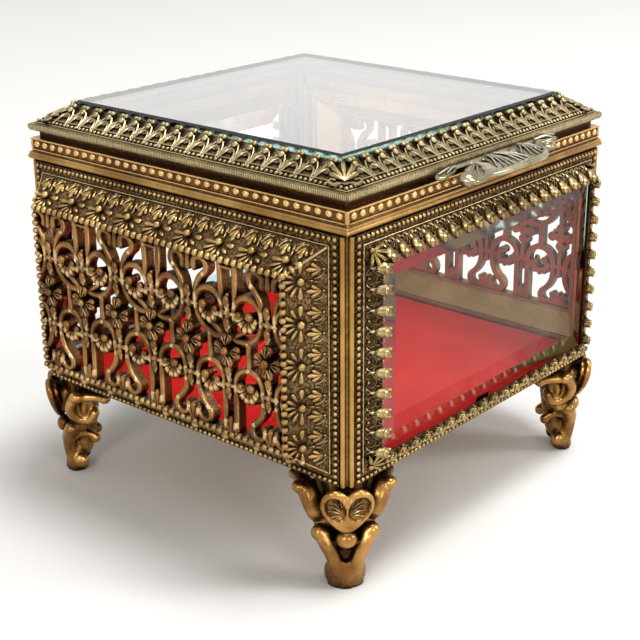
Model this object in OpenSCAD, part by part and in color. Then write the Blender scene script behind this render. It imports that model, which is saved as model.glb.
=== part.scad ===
// Glass casket box: a small footed keepsake casket of cast brass, with two pierced
// scrollwork sides, two bevelled windows and a hinged, glazed lid over a velvet pad.
// Sizes are in millimetres. +Z is up and the front, with the thumb lift, faces -Y. The origin
// is on the ground under the middle of the whole casket, thumb lift included. The modules
// below draw each piece about the middle of the body, and centred() shifts it into place.

/* [Body] */
// Width of the body over its wall faces, left to right
box_w = 100; // [80:1:140]
// Depth of the body over its wall faces, front to back
box_d = 100; // [80:1:140]
// Height of the walls, from the base to the collar
wall_h = 56.3; // [46:0.1:80]
// Height of each foot, from the ground to the base
foot_h = 26.4; // [22:0.1:36]
// Thickness of the cast wall plates
wall_t = 1.4; // [1:0.1:2]
// Distance from each corner of the body to the end of a wall plate
post_leg = 2.5; // [2:0.1:3.2]
// Radius of the two ribs on the face of each corner post
post_rib_r = 0.62; // [0.5:0.02:0.76]
// Width of each corner post inside the walls
post_core = 2.6; // [2:0.1:4]
// Thickness of the base plate
base_t = 1; // [0.8:0.1:1.6]
// Thickness of the board under the velvet
board_t = 1.2; // [0.8:0.1:2]
// Thickness of the velvet pad
velvet_t = 1.6; // [1:0.1:3]

/* [Wall plates] */
// Width of the flat beaded strip round each wall plate
strip_w = 2.4; // [2:0.1:3]
// Thickness of the cast bands that slope away from the strip
band_t = 1.4; // [1:0.1:1.8]
// Width of the band round a scrollwork panel, seen square on
side_band_w = 5.95; // [4:0.05:7.2]
// How far the scrollwork stands out from the wall
side_rise = 8; // [6:0.1:9.6]
// Width of the flat rim inside the band round a scrollwork panel
side_rim_w = 0.5; // [0.4:0.1:1]
// Width of the leaf band round a window, seen square on
window_band_w = 4.3; // [3.5:0.1:5.2]
// How far the leaf band round a window stands out from the wall
window_rise = 4.5; // [3.7:0.1:5.5]
// Distance from one leaf to the next, round the windows and the lid
leaf_pitch = 4.5; // [3.7:0.1:5.5]
// Thickness of those leaves over their band
leaf_t = 0.55; // [0.4:0.05:0.7]
// How far the leaves reach past the band round a window, seen square on
leaf_over = 1.1; // [0.8:0.1:1.4]

/* [Scrollwork] */
// Width of each scroll, seen square on
scroll_w = 1.5; // [1.2:0.05:1.8]
// Depth of the scrollwork, front to back
scroll_depth = 2.2; // [1.6:0.1:2.7]
// Distance from one heart to the next, when the field is 38.6 mm high
heart_pitch = 23.3; // [19.4:0.1:28]

/* [Windows] */
// Thickness of a window pane
pane_t = 4; // [3.3:0.1:4.8]
// Width of the bevel round a pane
bevel_w = 5.5; // [4:0.1:8]
// Depth of the bevel at the edge of a pane
bevel_drop = 1.5; // [1:0.1:1.8]
// Gap round each pane in its frame
glass_gap = 0.1; // [0.05:0.05:0.2]

/* [Collar and lid] */
// How far the lip of the collar stands out from the walls
collar_lip = 0.2; // [0:0.1:0.6]
// Height of the collar, from the walls to its top
collar_h = 5.4; // [4.5:0.1:7]
// Distance from one bead to the next along the collar
bead_pitch = 2.85; // [2.3:0.05:3.5]
// Height of the upstand that carries the lid above the collar
upstand_h = 1.65; // [1.2:0.05:2.4]
// Gap between the closed lid and the upstand
lid_seat_gap = 0.05; // [0.02:0.01:0.1]
// Setback of the lid's edge from the wall faces
lid_setback = 0.2; // [0:0.1:0.5]
// Width of the lid frame, from its edge to the glass
lid_frame_w = 8.2; // [6.8:0.1:12]
// Height of the lid frame, from its underside to the leaf tips
lid_frame_h = 6.2; // [5.1:0.1:9]
// Thickness of the lid's glass
lid_glass_t = 4; // [3:0.1:5]

/* [Hinge] */
// Length of the hinge along the back
hinge_w = 36; // [24:1:50]
// Radius of the hinge barrel
barrel_r = 1.2; // [1:0.05:1.45]
// Radius of the hinge pin
pin_r = 0.6; // [0.5:0.02:0.72]
// Radial clearance round the hinge pin
pin_clearance = 0.03; // [0.02:0.01:0.06]

/* [Thumb lift] */
// Width of the thumb lift over its leaf tips
lift_w = 50; // [41:1:60]
// How far the thumb lift reaches out from the lid
lift_reach = 9.7; // [8:0.1:12]
// Thickness of the thumb lift
lift_t = 1.4; // [1:0.1:1.8]
// Downward slope of the thumb lift, in degrees
lift_slope = 9; // [0:1:14]

/* [Feet] */
// Distance from each body corner to the middle of its foot, along both walls
foot_inset = 4.8; // [4:0.1:6]
// Width of the heart on each foot
heart_w = 12.4; // [10:0.1:15]
// Height of the heart on each foot
heart_h = 11.8; // [9.8:0.1:14.2]
// Width of the toe of each foot
toe_w = 9; // [7.5:0.1:10.8]
// Shank radius of the screws that hold the feet
screw_r = 1; // [0.8:0.1:1.2]

/* [Hidden] */
$fn = 32;
fit_gap = 0.05;
cut = 1;
waist = 0.96;
gold = [0.66, 0.5, 0.26];
bronze = [0.5, 0.33, 0.16];
pale_brass = [0.62, 0.57, 0.42];
pane_colour = [0.8, 0.88, 0.86, 0.35];

// Levels, from the ground up
base_z = foot_h;
wall_top_z = base_z + wall_h;
wall_mid_z = base_z + wall_h / 2;
board_z = base_z + base_t;
velvet_z = board_z + board_t;
collar_top_z = wall_top_z + collar_h;
lid_z = collar_top_z + upstand_h + lid_seat_gap;

// Wall plates, inside the corner posts and standing on the base's edge
front_plate_w = box_w - 2 * post_leg;
side_plate_w = box_d - 2 * post_leg;
inside_w = box_w - 2 * wall_t;
inside_d = box_d - 2 * wall_t;

// Where each pane sits in its frame: its edge, and the face of that edge
pane_inset = strip_w + window_band_w / 2;
pane_back = -wall_t;
pane_edge_front = pane_back + pane_t - bevel_drop;

// Scrollwork field, between the rims of its band, and the scale of its motif
field_inset = strip_w + side_band_w + side_rim_w;
field_h = wall_h - 2 * field_inset;
field_w = side_plate_w - 2 * field_inset;
motif_k = field_h / 38.6;
field_front = side_rise - 0.4;
field_grip = 0.4;

// Foot screws, set in from the middle of each foot, and the board's notches over their heads
screw_back = 2.6;
screw_head_r = 1.9;
corner_notch = foot_inset + screw_back + screw_head_r + 1 - wall_t;

// Hinge axis, behind the back wall and level with the gap under the lid
hinge_out = barrel_r + 0.1;
hinge_y = box_d / 2 + hinge_out;
hinge_z = collar_top_z + 0.8;
knuckle_count = 5;
knuckle_gap = 0.15;
hinge_leaf_t = 0.6;

// The thumb lift reaches further forward than the back window does to the rear
centre_y = (lift_reach - lid_setback - window_rise) / 2;

module centred() {
    translate([0, centre_y, 0]) children();
}

// ---- Shared shapes ----

// One side of a mitred frame w by h, in the XY plane. Side 0 lies along +Y, and the others
// follow anticlockwise. The child is the section: x runs in from the edge, y runs up.
module mitred_side(side, w, h, reach, low, high) {
    half_run = (side % 2 == 0 ? w : h) / 2;
    edge = (side % 2 == 0 ? h : w) / 2;
    rotate([0, 0, 90 * side])
        intersection() {
            translate([0, edge, 0])
                rotate([90, 0, -90])
                    linear_extrude(height = 2 * half_run + 2, center = true) children();
            translate([0, 0, low])
                linear_extrude(height = high - low)
                    polygon([[-half_run, edge], [half_run, edge],
                        [half_run - reach, edge - reach], [reach - half_run, edge - reach]]);
        }
}

module mitred_frame(w, h, reach, low, high) {
    for (side = [0:3]) mitred_side(side, w, h, reach, low, high) children();
}

// Puts a wall's own frame in place: x along the wall, y up it, z outward from its face
module on_wall(turn, half_depth) {
    rotate([90, 0, turn])
        translate([0, wall_mid_z, half_depth]) children();
}

// A straight bar between two round ends, which may differ in radius. The ends are a little
// wider than the bar, so that every edge crosses the next one cleanly.
module taper_bar(p0, r0, p1, r1) {
    run = p1 - p0;
    across = waist * [-run[1], run[0]] / norm(run);
    polygon([p0 + across * r0, p1 + across * r1, p1 - across * r1, p0 - across * r0]);
    translate(p0) circle(r = r0);
    translate(p1) circle(r = r1);
}

// A round-ended strip of the given width along part of a circle
module arc_strip(centre, radius, from, to, width) {
    steps = ceil((to - from) / 60);
    far = 2 * radius + width;
    translate(centre) {
        intersection() {
            difference() {
                circle(r = radius + width / 2);
                circle(r = radius - width / 2);
            }
            polygon(concat([[0, 0]], [for (i = [0:steps])
                let (a = from + (to - from) * i / steps) far * [cos(a), sin(a)]]));
        }
        for (a = [from, to])
            translate(radius * [cos(a), sin(a)]) circle(r = width / 2 / waist);
    }
}

module pair() {
    children();
    mirror([1, 0]) children();
}

leaf_root = 0.2;

// Leaves along the four sides of a frame w by h. They lie on a band that starts at the given
// inset and height and rises inward at the given slope. The child is one leaf, pointing to -Y.
module leaf_rows(w, h, inset, height, slope, first) {
    for (side = [0:3]) {
        half_run = (side % 2 == 0 ? w : h) / 2 - first;
        edge = (side % 2 == 0 ? h : w) / 2;
        count = round(2 * half_run / leaf_pitch);
        rotate([0, 0, 90 * side])
            for (i = [0:count])
                translate([-half_run + 2 * half_run * i / count, edge - inset, height])
                    rotate([-slope, 0, 0])
                        translate([0, 0, -leaf_root])
                            linear_extrude(height = leaf_root + leaf_t) children();
    }
}

// ---- Base and lining ----

module base_plate() {
    w = inside_w - 2 * fit_gap;
    d = inside_d - 2 * fit_gap;
    corner = post_leg - wall_t + 2 * fit_gap;
    color(bronze)
        difference() {
            translate([-w / 2, -d / 2, base_z]) cube([w, d, base_t]);
            at_corners() post_notch(corner);
            at_screws() cylinder(r = screw_r + 0.1, h = 3 * base_t, center = true);
        }
}

module pad_board() {
    gap = 0.3;
    w = inside_w - 2 * gap;
    d = inside_d - 2 * gap;
    color([0.55, 0.45, 0.34])
        difference() {
            translate([-w / 2, -d / 2, board_z]) cube([w, d, board_t]);
            at_corners() post_notch(corner_notch);
        }
}

module velvet_pad() {
    gap = 0.5;
    w = inside_w - 2 * gap;
    d = inside_d - 2 * gap;
    color([0.78, 0.07, 0.1])
        difference() {
            translate([-w / 2, -d / 2, velvet_z]) cube([w, d, velvet_t]);
            at_corners() post_notch(post_core + gap);
        }
}

module post_notch(size) {
    far = wall_t + size;
    translate([-far, -far, base_z - cut])
        cube([2 * far, 2 * far, base_t + board_t + velvet_t + 2 * cut]);
}

// Children at each corner of the body, turned so that +X and +Y point outward
module at_corners() {
    for (sx = [-1, 1], sy = [-1, 1])
        translate([sx * box_w / 2, sy * box_d / 2, 0])
            mirror([sx < 0 ? 1 : 0, 0, 0]) mirror([0, sy < 0 ? 1 : 0, 0]) children();
}

module at_screws() {
    in = foot_inset + screw_back;
    for (sx = [-1, 1], sy = [-1, 1])
        translate([sx * (box_w / 2 - in), sy * (box_d / 2 - in), board_z]) children();
}

// ---- Wall plates ----

// Section of a wall plate: strip, raised line, then a band that rises towards the opening
module strip_and_line() {
    line_r = 0.3;
    translate([0, -wall_t]) square([strip_w + 1.2, wall_t]);
    translate([strip_w, 0]) circle(r = line_r);
}

// How far in the back of a sloping band lies, at a height above the wall face
function band_back(run, rise, at) = strip_w + band_t * norm([run, rise]) / rise + at * run / rise;

module side_section() {
    top = strip_w + side_band_w;
    rim_back = field_front - scroll_depth - 0.2;
    strip_and_line();
    polygon([
        [strip_w, 0], [top, side_rise], [top + side_rim_w, side_rise],
        [top + side_rim_w, rim_back],
        [band_back(side_band_w, side_rise, rim_back), rim_back],
        [band_back(side_band_w, side_rise, -wall_t), -wall_t], [strip_w, -wall_t]
    ]);
}

module side_panel() {
    reach = field_inset + 1;
    mitred_frame(side_plate_w, wall_h, reach, -wall_t, side_rise + 1) side_section();
    translate([0, 0, field_front - scroll_depth])
        linear_extrude(height = scroll_depth)
            intersection() {
                scrollwork();
                square([field_w + 2 * field_grip, field_h + 2 * field_grip], center = true);
            }
    flowers();
}

module side_panel_left() { color(bronze) on_wall(-90, box_w / 2) side_panel(); }
module side_panel_right() { color(bronze) on_wall(90, box_w / 2) side_panel(); }

// Scrollwork, in the units of a field 38.6 high. Hearts stand on the heart axes, with a
// pair of rings above and below the middle row of flowers. Lyres stand half way between.
ring_u = 0.2446 * heart_pitch;
ring_r = 0.176 * heart_pitch;
upper_v = 8.6;
lower_v = -7.7;
heart_reach = ring_u + ring_r + 0.6;
lyre_reach = 6;
last_heart = floor((field_w / 2 / motif_k + heart_reach) / heart_pitch);
last_lyre = floor((field_w / 2 / motif_k + lyre_reach) / heart_pitch - 0.5);
half_gap = heart_pitch / 2 - ring_u - ring_r;
strip_k = scroll_w / motif_k;

module scrollwork() {
    scale(motif_k) {
        for (i = [-last_heart:last_heart]) translate([i * heart_pitch, 0]) heart_unit();
        for (i = [-last_lyre - 1:last_lyre])
            translate([(i + 0.5) * heart_pitch, 0]) lyre_unit();
    }
}

module heart_unit() {
    inner = ring_u - ring_r;
    heart_r = 6.3;
    pair() {
        translate([ring_u, 0]) {
            arc_strip([0, upper_v], ring_r, -12, 200, strip_k);
            arc_strip([0, lower_v], ring_r - 0.1, -12, 200, strip_k);
            leaf_curl([0, upper_v - 0.5]);
            leaf_curl([0, lower_v - 0.5]);
            taper_bar([0, upper_v - heart_r], strip_k / 2, [0, lower_v + ring_r], strip_k / 2);
            taper_bar([-3.6, 3.2], 0.5, [-0.6, upper_v - 3.3], 0.6);
        }
        arc_strip([ring_u + ring_r - heart_r, upper_v], heart_r, -112, 0, strip_k);
        taper_bar([inner + 0.3, upper_v + 1.5], strip_k / 2, [2.3, field_h], strip_k / 2);
        taper_bar([inner + 0.1, lower_v - 0.5], strip_k / 2, [1.6, -field_h], strip_k / 2);
    }
    ties(inner);
    taper_bar([0, upper_v], 0.8, [0, upper_v + 3.6], 0.55);
    taper_bar([-2, upper_v + 9.8], 0.4, [2, upper_v + 9.8], 0.4);
    shell(-18.2);
}

// The strip along each arc of a lyre starts at a ring and curls over into a volute
module lyre_unit() {
    for (up = [0, 1])
        mirror([0, up]) {
            v = 8.3;
            bend_r = 6.5;
            bend = 55;
            curl_r = 1.95;
            knee = [half_gap + bend_r * (1 - cos(bend)), v + 2 + bend_r * sin(bend)];
            pair() {
                taper_bar([half_gap, v - 0.5], strip_k / 2, [half_gap, v + 2], strip_k / 2);
                arc_strip([half_gap + bend_r, v + 2], bend_r, 180 - bend, 180, strip_k);
                arc_strip(knee + curl_r * [-cos(bend), sin(bend)], curl_r, -bend, 205, strip_k);
            }
        }
    ties(half_gap);
    taper_bar([0, 16.2], 0.7, [0, 19.5], 0.5);
    shell(-18);
}

// Bars and buds between neighbouring rings, on an axis with the given half gap
module ties(gap) {
    for (v = [upper_v - 0.3, lower_v - 0.6])
        taper_bar([-gap - 0.4, v], 0.55, [gap + 0.4, v], 0.55);
    taper_bar([0, 2.5], 0.5, [0, upper_v], 0.6);
    taper_bar([0, -2.5], 0.5, [0, lower_v - 0.6], 0.6);
    taper_bar([0, lower_v - 0.6], 0.6, [0, lower_v - 3.2], 0.5);
}

// The ruffled leaf that closes a ring from below and ends in a ball inside it
module leaf_curl(centre) {
    leaf_r = ring_r - 1.8;
    arc_strip(centre, leaf_r, 190, 350, 1.5);
    for (a = [205:32:333])
        translate(centre + (leaf_r + 0.55) * [cos(a), sin(a)]) circle(r = 0.62);
    taper_bar(centre + [-ring_r + 0.2, -0.7], 0.7, centre + [-leaf_r, -0.6], 0.8);
    translate(centre + [1.3, 0.9]) circle(r = 0.95);
    taper_bar(centre + [1.3, 0.9], 0.6, centre + [leaf_r, -0.4], 0.7);
}

module shell(v) {
    for (x = [-1.5, 0, 1.5])
        taper_bar([x / 3, -field_h], 0.5, [x, v + 1.6 - abs(x) / 2], 0.75);
}

// Four petals round a ball, on every axis along the middle of the field
module flowers() {
    petal_at = 2.5 * motif_k;
    petal_r = 1.3 * motif_k;
    step = heart_pitch * motif_k / 2;
    last = floor((field_w / 2 - petal_at) / step);
    for (i = [-last:last])
        translate([i * step, 0, field_front - scroll_depth]) {
            for (a = [0:90:270])
                rotate([0, 0, a])
                    translate([petal_at, 0, 0]) cylinder(r = petal_r, h = scroll_depth + 0.4);
            cylinder(r = 1.5 * motif_k, h = scroll_depth - 0.3);
            translate([0, 0, scroll_depth]) sphere(r = 0.9 * motif_k);
        }
}

// ---- Windows ----

// The band round a window rises inward from the strip, and its leaves reach past its edge
window_slope = atan2(window_rise - leaf_t - 0.25, window_band_w - 0.25);

// Section of a window frame: the leaf band overhangs a rebate that takes the bevelled pane
module window_section() {
    tip = strip_w + window_band_w - leaf_over;
    top = (tip - 0.25 - strip_w) * tan(window_slope);
    land = pane_inset + 0.5;
    bevel_rise = bevel_drop / bevel_w;
    edge = pane_edge_front + glass_gap;
    strip_and_line();
    polygon([
        [strip_w, 0], [tip - 0.25, top], [tip, top + 0.05],
        [tip + 0.05, top - 0.3], [land, (top + edge) / 2 - 0.1],
        [land, edge + bevel_rise * (land - pane_inset)], [pane_inset - glass_gap, edge],
        [pane_inset - glass_gap, -wall_t], [strip_w, -wall_t]
    ]);
}

module window_frame() {
    length = (window_band_w - 0.25) / cos(window_slope);
    first = strip_w + window_band_w + 0.6;
    mitred_frame(front_plate_w, wall_h, strip_w + window_band_w, -wall_t, window_rise)
        window_section();
    leaf_rows(front_plate_w, wall_h, strip_w, 0, window_slope, first) {
        taper_bar([0, -length * 0.55], 1.3, [0, -length - 0.1], 0.45);
        for (sx = [-1, 1]) translate([sx * 1.05, -length * 0.6]) circle(r = 0.75);
    }
}

module front_frame() { color(gold) on_wall(0, box_d / 2) window_frame(); }
module back_frame() { color(gold) on_wall(180, box_d / 2) window_frame(); }

// A pane with a bevel on all four edges of its outer face
module pane() {
    w = front_plate_w - 2 * pane_inset;
    h = wall_h - 2 * pane_inset;
    slope = atan(bevel_drop / bevel_w);
    difference() {
        translate([-w / 2, -h / 2, pane_back]) cube([w, h, pane_t]);
        for (side = [0:3]) {
            edge = (side % 2 == 0 ? h : w) / 2;
            rotate([0, 0, 90 * side])
                translate([0, edge, pane_edge_front])
                    rotate([-slope, 0, 0])
                        translate([-w - h, -2 * bevel_w, 0])
                            cube([2 * (w + h), 3 * bevel_w, pane_t]);
        }
    }
}

module front_glass() { color(pane_colour) on_wall(0, box_d / 2) pane(); }
module back_glass() { color(pane_colour) on_wall(180, box_d / 2) pane(); }

// Bent brass tabs that hold a pane in from behind
module pane_clips() {
    clip_w = 5;
    clip_t = 0.5;
    lap = 1.4;
    for (side = [0:3]) {
        edge = (side % 2 == 0 ? wall_h : front_plate_w) / 2;
        rotate([0, 0, 90 * side])
            translate([-clip_w / 2, edge - pane_inset - lap, -wall_t - clip_t])
                cube([clip_w, 2 * lap, clip_t]);
    }
}

module front_glass_clips() { color(gold) on_wall(0, box_d / 2) pane_clips(); }
module back_glass_clips() { color(gold) on_wall(180, box_d / 2) pane_clips(); }

// ---- Corner posts ----

// A square core on the base, inside the walls, and a splayed face with two ribs and a hollow
// between them, which fills the corner from the base's underside up
module post(sx, sy) {
    leg = post_leg - fit_gap;
    rib_in = leg - post_rib_r;
    rib_out = post_rib_r - 0.1;
    face = (rib_in + rib_out) / 2 - 0.1;
    back = wall_t + 0.2;
    core = wall_t + fit_gap + post_core;
    color(gold)
        translate([sx * box_w / 2, sy * box_d / 2, 0])
            mirror([sx < 0 ? 1 : 0, 0, 0]) mirror([0, sy < 0 ? 1 : 0, 0]) {
                translate([-core, -core, board_z])
                    cube([post_core, post_core, wall_top_z - board_z]);
                translate([0, 0, base_z])
                    linear_extrude(height = wall_h) {
                        difference() {
                            polygon([[-leg, -back], [-leg, -rib_out], [-rib_in, -rib_out],
                                [-face, -face], [-rib_out, -rib_in], [-rib_out, -leg],
                                [-back, -leg], [-back, -back]]);
                            translate([0.55 - face, 0.55 - face]) circle(r = 1);
                        }
                        translate([-rib_in, -rib_out]) circle(r = post_rib_r);
                        translate([-rib_out, -rib_in]) circle(r = post_rib_r);
                    }
            }
}

module post_front_left() { post(-1, -1); }
module post_front_right() { post(1, -1); }
module post_back_left() { post(-1, 1); }
module post_back_right() { post(1, 1); }

// ---- Collar ----

// Section of the collar: a rounded lip, a cove, a plain face and the upstand under the lid
module collar_section() {
    lip_r = 0.65;
    face = collar_lip + 0.7;
    cove_r = face - 0.3;
    cove_z = 2.7;
    upstand_at = collar_lip + 2.1;
    upstand_w = 1;
    translate([lip_r, lip_r + 0.3]) circle(r = lip_r);
    difference() {
        translate([face - cove_r, cove_z - cove_r - 0.6]) square([cove_r + cut, cove_r + 0.6]);
        translate([face - cove_r, cove_z]) circle(r = cove_r);
    }
    translate([face, 0]) square([upstand_at + upstand_w - face, collar_h]);
    translate([face, collar_h - 0.25]) circle(r = 0.25);
    translate([upstand_at, 0]) square([upstand_w, collar_h + upstand_h]);
}

module collar_side(side) {
    w = box_w + 2 * collar_lip;
    d = box_d + 2 * collar_lip;
    bead_r = 1;
    half_run = (side % 2 == 0 ? w : d) / 2 - 2.9;
    row = (side % 2 == 0 ? d : w) / 2 - collar_lip - bead_r - 0.15;
    count = round(2 * half_run / bead_pitch);
    translate([0, 0, wall_top_z]) {
        mitred_side(side, w, d, 5, 0, collar_h + upstand_h) collar_section();
        rotate([0, 0, 90 * side])
            for (i = [0:count])
                translate([-half_run + 2 * half_run * i / count, row, collar_h - bead_r - 0.3])
                    sphere(r = bead_r);
    }
}

module collar_front() { color(bronze) collar_side(2); }
module collar_left() { color(bronze) collar_side(1); }
module collar_right() { color(bronze) collar_side(3); }
module collar_back() {
    face_y = box_d / 2 - 0.7;
    color(bronze)
        difference() {
            collar_side(0);
            translate([-hinge_w / 2 - fit_gap, face_y, wall_top_z + 2.7])
                cube([hinge_w + 2 * fit_gap, 2, collar_h]);
        }
}

// ---- Feet ----

module foot(sx, sy) {
    color(bronze)
        difference() {
            union() {
                translate([sx * (box_w / 2 - foot_inset), sy * (box_d / 2 - foot_inset), 0])
                    rotate([0, 0, atan2(sy, sx)]) foot_casting();
                translate([sx * (box_w / 2 - foot_inset - screw_back),
                    sy * (box_d / 2 - foot_inset - screw_back), base_z - boss_h])
                    cylinder(r = screw_r + 1.4, h = boss_h);
            }
            at_screws() translate([0, 0, -base_t - boss_h + 1.2])
                cylinder(r = screw_r + fit_gap, h = boss_h + 2);
        }
}

boss_h = 9;
pad_t = 1.5;
knob_z = foot_h - 13.1;
knob_out = toe_w / 2 + 1;
flank_out = heart_w / 2 + 2.6;

// The casting faces +X, which points out along the diagonal of the body
module foot_casting() {
    pad = 2 * (foot_inset - wall_t) - 0.2;
    rotate([0, 0, 45])
        translate([-pad / 2 - 2, -pad / 2 - 2, foot_h - pad_t]) cube([pad + 2, pad + 2, pad_t]);
    difference() {
        intersection() {
            foot_slice(-8, 12) stem_outline();
            stem();
        }
        foot_slice(1.2, 3) taper_bar([0, knob_z], 3, [0, knob_z - 5.9], 0.8);
    }
    for (sy = [-1, 1]) {
        toe_volute(sy);
        foot_slice(-1.2, 3.7) translate([sy * knob_out, knob_z]) circle(r = 2);
        foot_slice(-4, 4.6) taper_bar([0, knob_z + 2], 2.4, [sy * flank_out, foot_h - 8.6], 1.5);
        flank_scroll(sy);
    }
    foot_slice(-3, 4.4) neck_outline();
    foot_slice(1, 3.4) bud_outline();
    foot_slice(0, heart_out + 0.5) heart_outline(2.2);
    translate([heart_out, 0, heart_mid_z])
        rotate([0, heart_lean, 0])
            translate([0, 0, -heart_mid_z])
                difference() {
                    foot_slice(0, 2.2) heart_outline(0);
                    foot_slice(1.4, 2) heart_lobes();
                }
}

// The heart leans out at the top, so that its lobes stand in front of the corner post
heart_out = 4.7;
heart_lean = 11;
heart_mid_z = foot_h - heart_h / 2 + 0.4;

// Stands an outline in the YZ plane, with a thickness along +X from x = at
module foot_slice(at, thickness) {
    translate([at, 0, 0])
        rotate([90, 0, 90]) linear_extrude(height = thickness) children();
}

// Stands an outline in the XZ plane, with a width along Y about the middle
module foot_profile(width) {
    rotate([90, 0, 0]) linear_extrude(height = width, center = true) children();
}

// The stem from the side: a C with its back open, a web in its hollow and a round toe
module stem() {
    bend = [-2, knob_z - 5.1];
    foot_profile(2 * knob_out + 6) arc_strip(bend, 4, -75, 140, 2.6);
    foot_profile(4.4) translate(bend) circle(r = 3.6);
    foot_profile(toe_w - 2.6) translate([-0.6, 2.6]) circle(r = 2.9);
    foot_profile(4) taper_bar([-0.8, 3], 1.9, bend, 2.1);
}

// The stem from the front: two arms run down from the knobs into the toe
module stem_outline() {
    toe_r = toe_w / 2 - 1.3;
    difference() {
        union() {
            for (sy = [-1, 1]) taper_bar([sy * knob_out, knob_z], 2, [sy * 1.6, 6.2], 1.3);
            taper_bar([0, 6.4], toe_r - 0.5, [0, 2.4], toe_r);
            translate([-2.4, 6]) square([4.8, knob_z - 6]);
        }
        translate([-toe_w, -toe_w]) square([2 * toe_w, toe_w]);
    }
}

module neck_outline() {
    polygon([[-4.2, foot_h - 0.5], [4.2, foot_h - 0.5], [2.7, knob_z - 3], [-2.7, knob_z - 3]]);
}

// A rolled disc on each flank of the toe, with a dimple in the middle
module toe_volute(sy) {
    volute_r = 2.2;
    thickness = 2;
    translate([-0.6, sy * (toe_w / 2 - thickness), volute_r + 1])
        rotate([-sy * 90, 0, 0])
            difference() {
                cylinder(r = volute_r, h = thickness);
                translate([0, 0, thickness - 0.7]) cylinder(r = volute_r - 1.1, h = 2);
            }
}

module bud_outline() {
    taper_bar([0, foot_h - 11.8], 2.5, [0, foot_h - 14.4], 1.6);
}

module heart_outline(inset) {
    lobe_r = heart_w * 0.27 - inset;
    lobe_y = heart_w / 2 - heart_w * 0.27;
    lobe_z = heart_mid_z + heart_h / 2 - heart_w * 0.27;
    tip_z = heart_mid_z - heart_h / 2 + 1.5 * inset;
    for (sy = [-1, 1]) translate([sy * lobe_y, lobe_z]) circle(r = lobe_r);
    polygon([[-lobe_y - lobe_r, lobe_z], [-lobe_y, lobe_z + lobe_r - 0.4], [0, lobe_z + 1.2 - inset],
        [lobe_y, lobe_z + lobe_r - 0.4], [lobe_y + lobe_r, lobe_z], [lobe_y + lobe_r - 1.1, lobe_z - 3.4],
        [1.9, tip_z + 0.6], [0.7, tip_z], [-0.7, tip_z], [-1.9, tip_z + 0.6],
        [-lobe_y - lobe_r + 1.1, lobe_z - 3.4]]);
}

// Two lobes sunk into the face of the heart, either side of a ridge
module heart_lobes() {
    lobe_r = heart_w * 0.27 - 1.1;
    for (sy = [-1, 1])
        taper_bar([sy * (heart_w * 0.23 + 0.25), heart_mid_z + heart_h * 0.2], lobe_r,
            [sy * 1.3, heart_mid_z - heart_h * 0.2], 0.8);
}

// A leaf scroll on each flank: a C with its back open, leaning out from the shoulder to the base
module flank_scroll(sy) {
    bend = [-2.6, 0];
    translate([0, sy * flank_out, foot_h - 6.1])
        rotate([-sy * 19, 0, 0])
            foot_profile(3) {
                arc_strip(bend, 3.3, -120, 100, 2.5);
                taper_bar(bend + [-0.6, 3.2], 1.25, bend + [-5.4, 4.5], 1.2);
                translate(bend + [-2.2, -2.4]) circle(r = 2);
            }
}

module foot_front_left() { foot(-1, -1); }
module foot_front_right() { foot(1, -1); }
module foot_back_left() { foot(-1, 1); }
module foot_back_right() { foot(1, 1); }

module foot_screws() {
    length = boss_h - 0.5;
    color(gold)
        at_screws() {
            cylinder(r = screw_head_r, h = 0.9);
            translate([0, 0, -length]) cylinder(r = screw_r, h = length + cut / 2);
        }
}

// ---- Hinge ----

// Knuckles numbered first, first + 2 and so on, each with a web back to its leaf
module knuckles(first, web_from_y, web_low, web_high) {
    step = hinge_w / knuckle_count;
    difference() {
        for (i = [first:2:knuckle_count - 1])
            translate([-hinge_w / 2 + i * step + knuckle_gap / 2, 0, 0]) {
                length = step - knuckle_gap;
                translate([0, hinge_y, hinge_z]) rotate([0, 90, 0]) cylinder(r = barrel_r, h = length);
                translate([0, web_from_y, web_low])
                    cube([length, hinge_y - web_from_y, web_high - web_low]);
            }
        translate([-hinge_w, hinge_y, hinge_z])
            rotate([0, 90, 0]) cylinder(r = pin_r + pin_clearance, h = 2 * hinge_w);
    }
}

module hinge_body_leaf() {
    leaf_y = box_d / 2 - 0.7;
    leaf_low = wall_top_z + 2.8;
    color(gold) {
        translate([-hinge_w / 2, leaf_y, leaf_low])
            cube([hinge_w, hinge_leaf_t, collar_top_z - leaf_low]);
        knuckles(0, leaf_y, hinge_z - barrel_r, hinge_z - 0.2);
    }
}

module hinge_lid_leaf() {
    leaf_y = box_d / 2 - lid_setback;
    color(gold) {
        translate([-hinge_w / 2, leaf_y, lid_z + 0.15]) cube([hinge_w, hinge_leaf_t, 1.5]);
        knuckles(1, leaf_y, hinge_z + 0.2, hinge_z + barrel_r);
    }
}

module hinge_pin() {
    head_t = 0.4;
    color(pale_brass)
        translate([-hinge_w / 2, hinge_y, hinge_z])
            rotate([0, 90, 0]) {
                translate([0, 0, -0.05]) cylinder(r = pin_r, h = hinge_w + 0.1);
                translate([0, 0, -head_t - 0.05]) cylinder(r = 0.95, h = head_t);
                translate([0, 0, hinge_w + 0.05]) cylinder(r = 0.95, h = head_t);
            }
}

// ---- Lid ----

// Section of the lid frame: a rounded edge, a leaf slope, a bed for the glass and a hollow back
module lid_section() {
    edge_h = 1.9;
    bed = lid_frame_h - 3;
    rim_w = 3.6;
    polygon([
        [1, 0], [0.35, 0.25], [0, 0.8], [0, 1.5], [0.35, edge_h],
        lid_slope_foot, lid_slope_top, [lid_frame_w - 0.05, lid_slope_top[1] + 0.05],
        [lid_frame_w, lid_slope_top[1] - 0.3], [lid_frame_w, bed], [lid_frame_w + 2, bed],
        [lid_frame_w + 2, bed - 1.4], [rim_w + 0.7, bed - 1.4], [rim_w, 0]
    ]);
}

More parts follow.
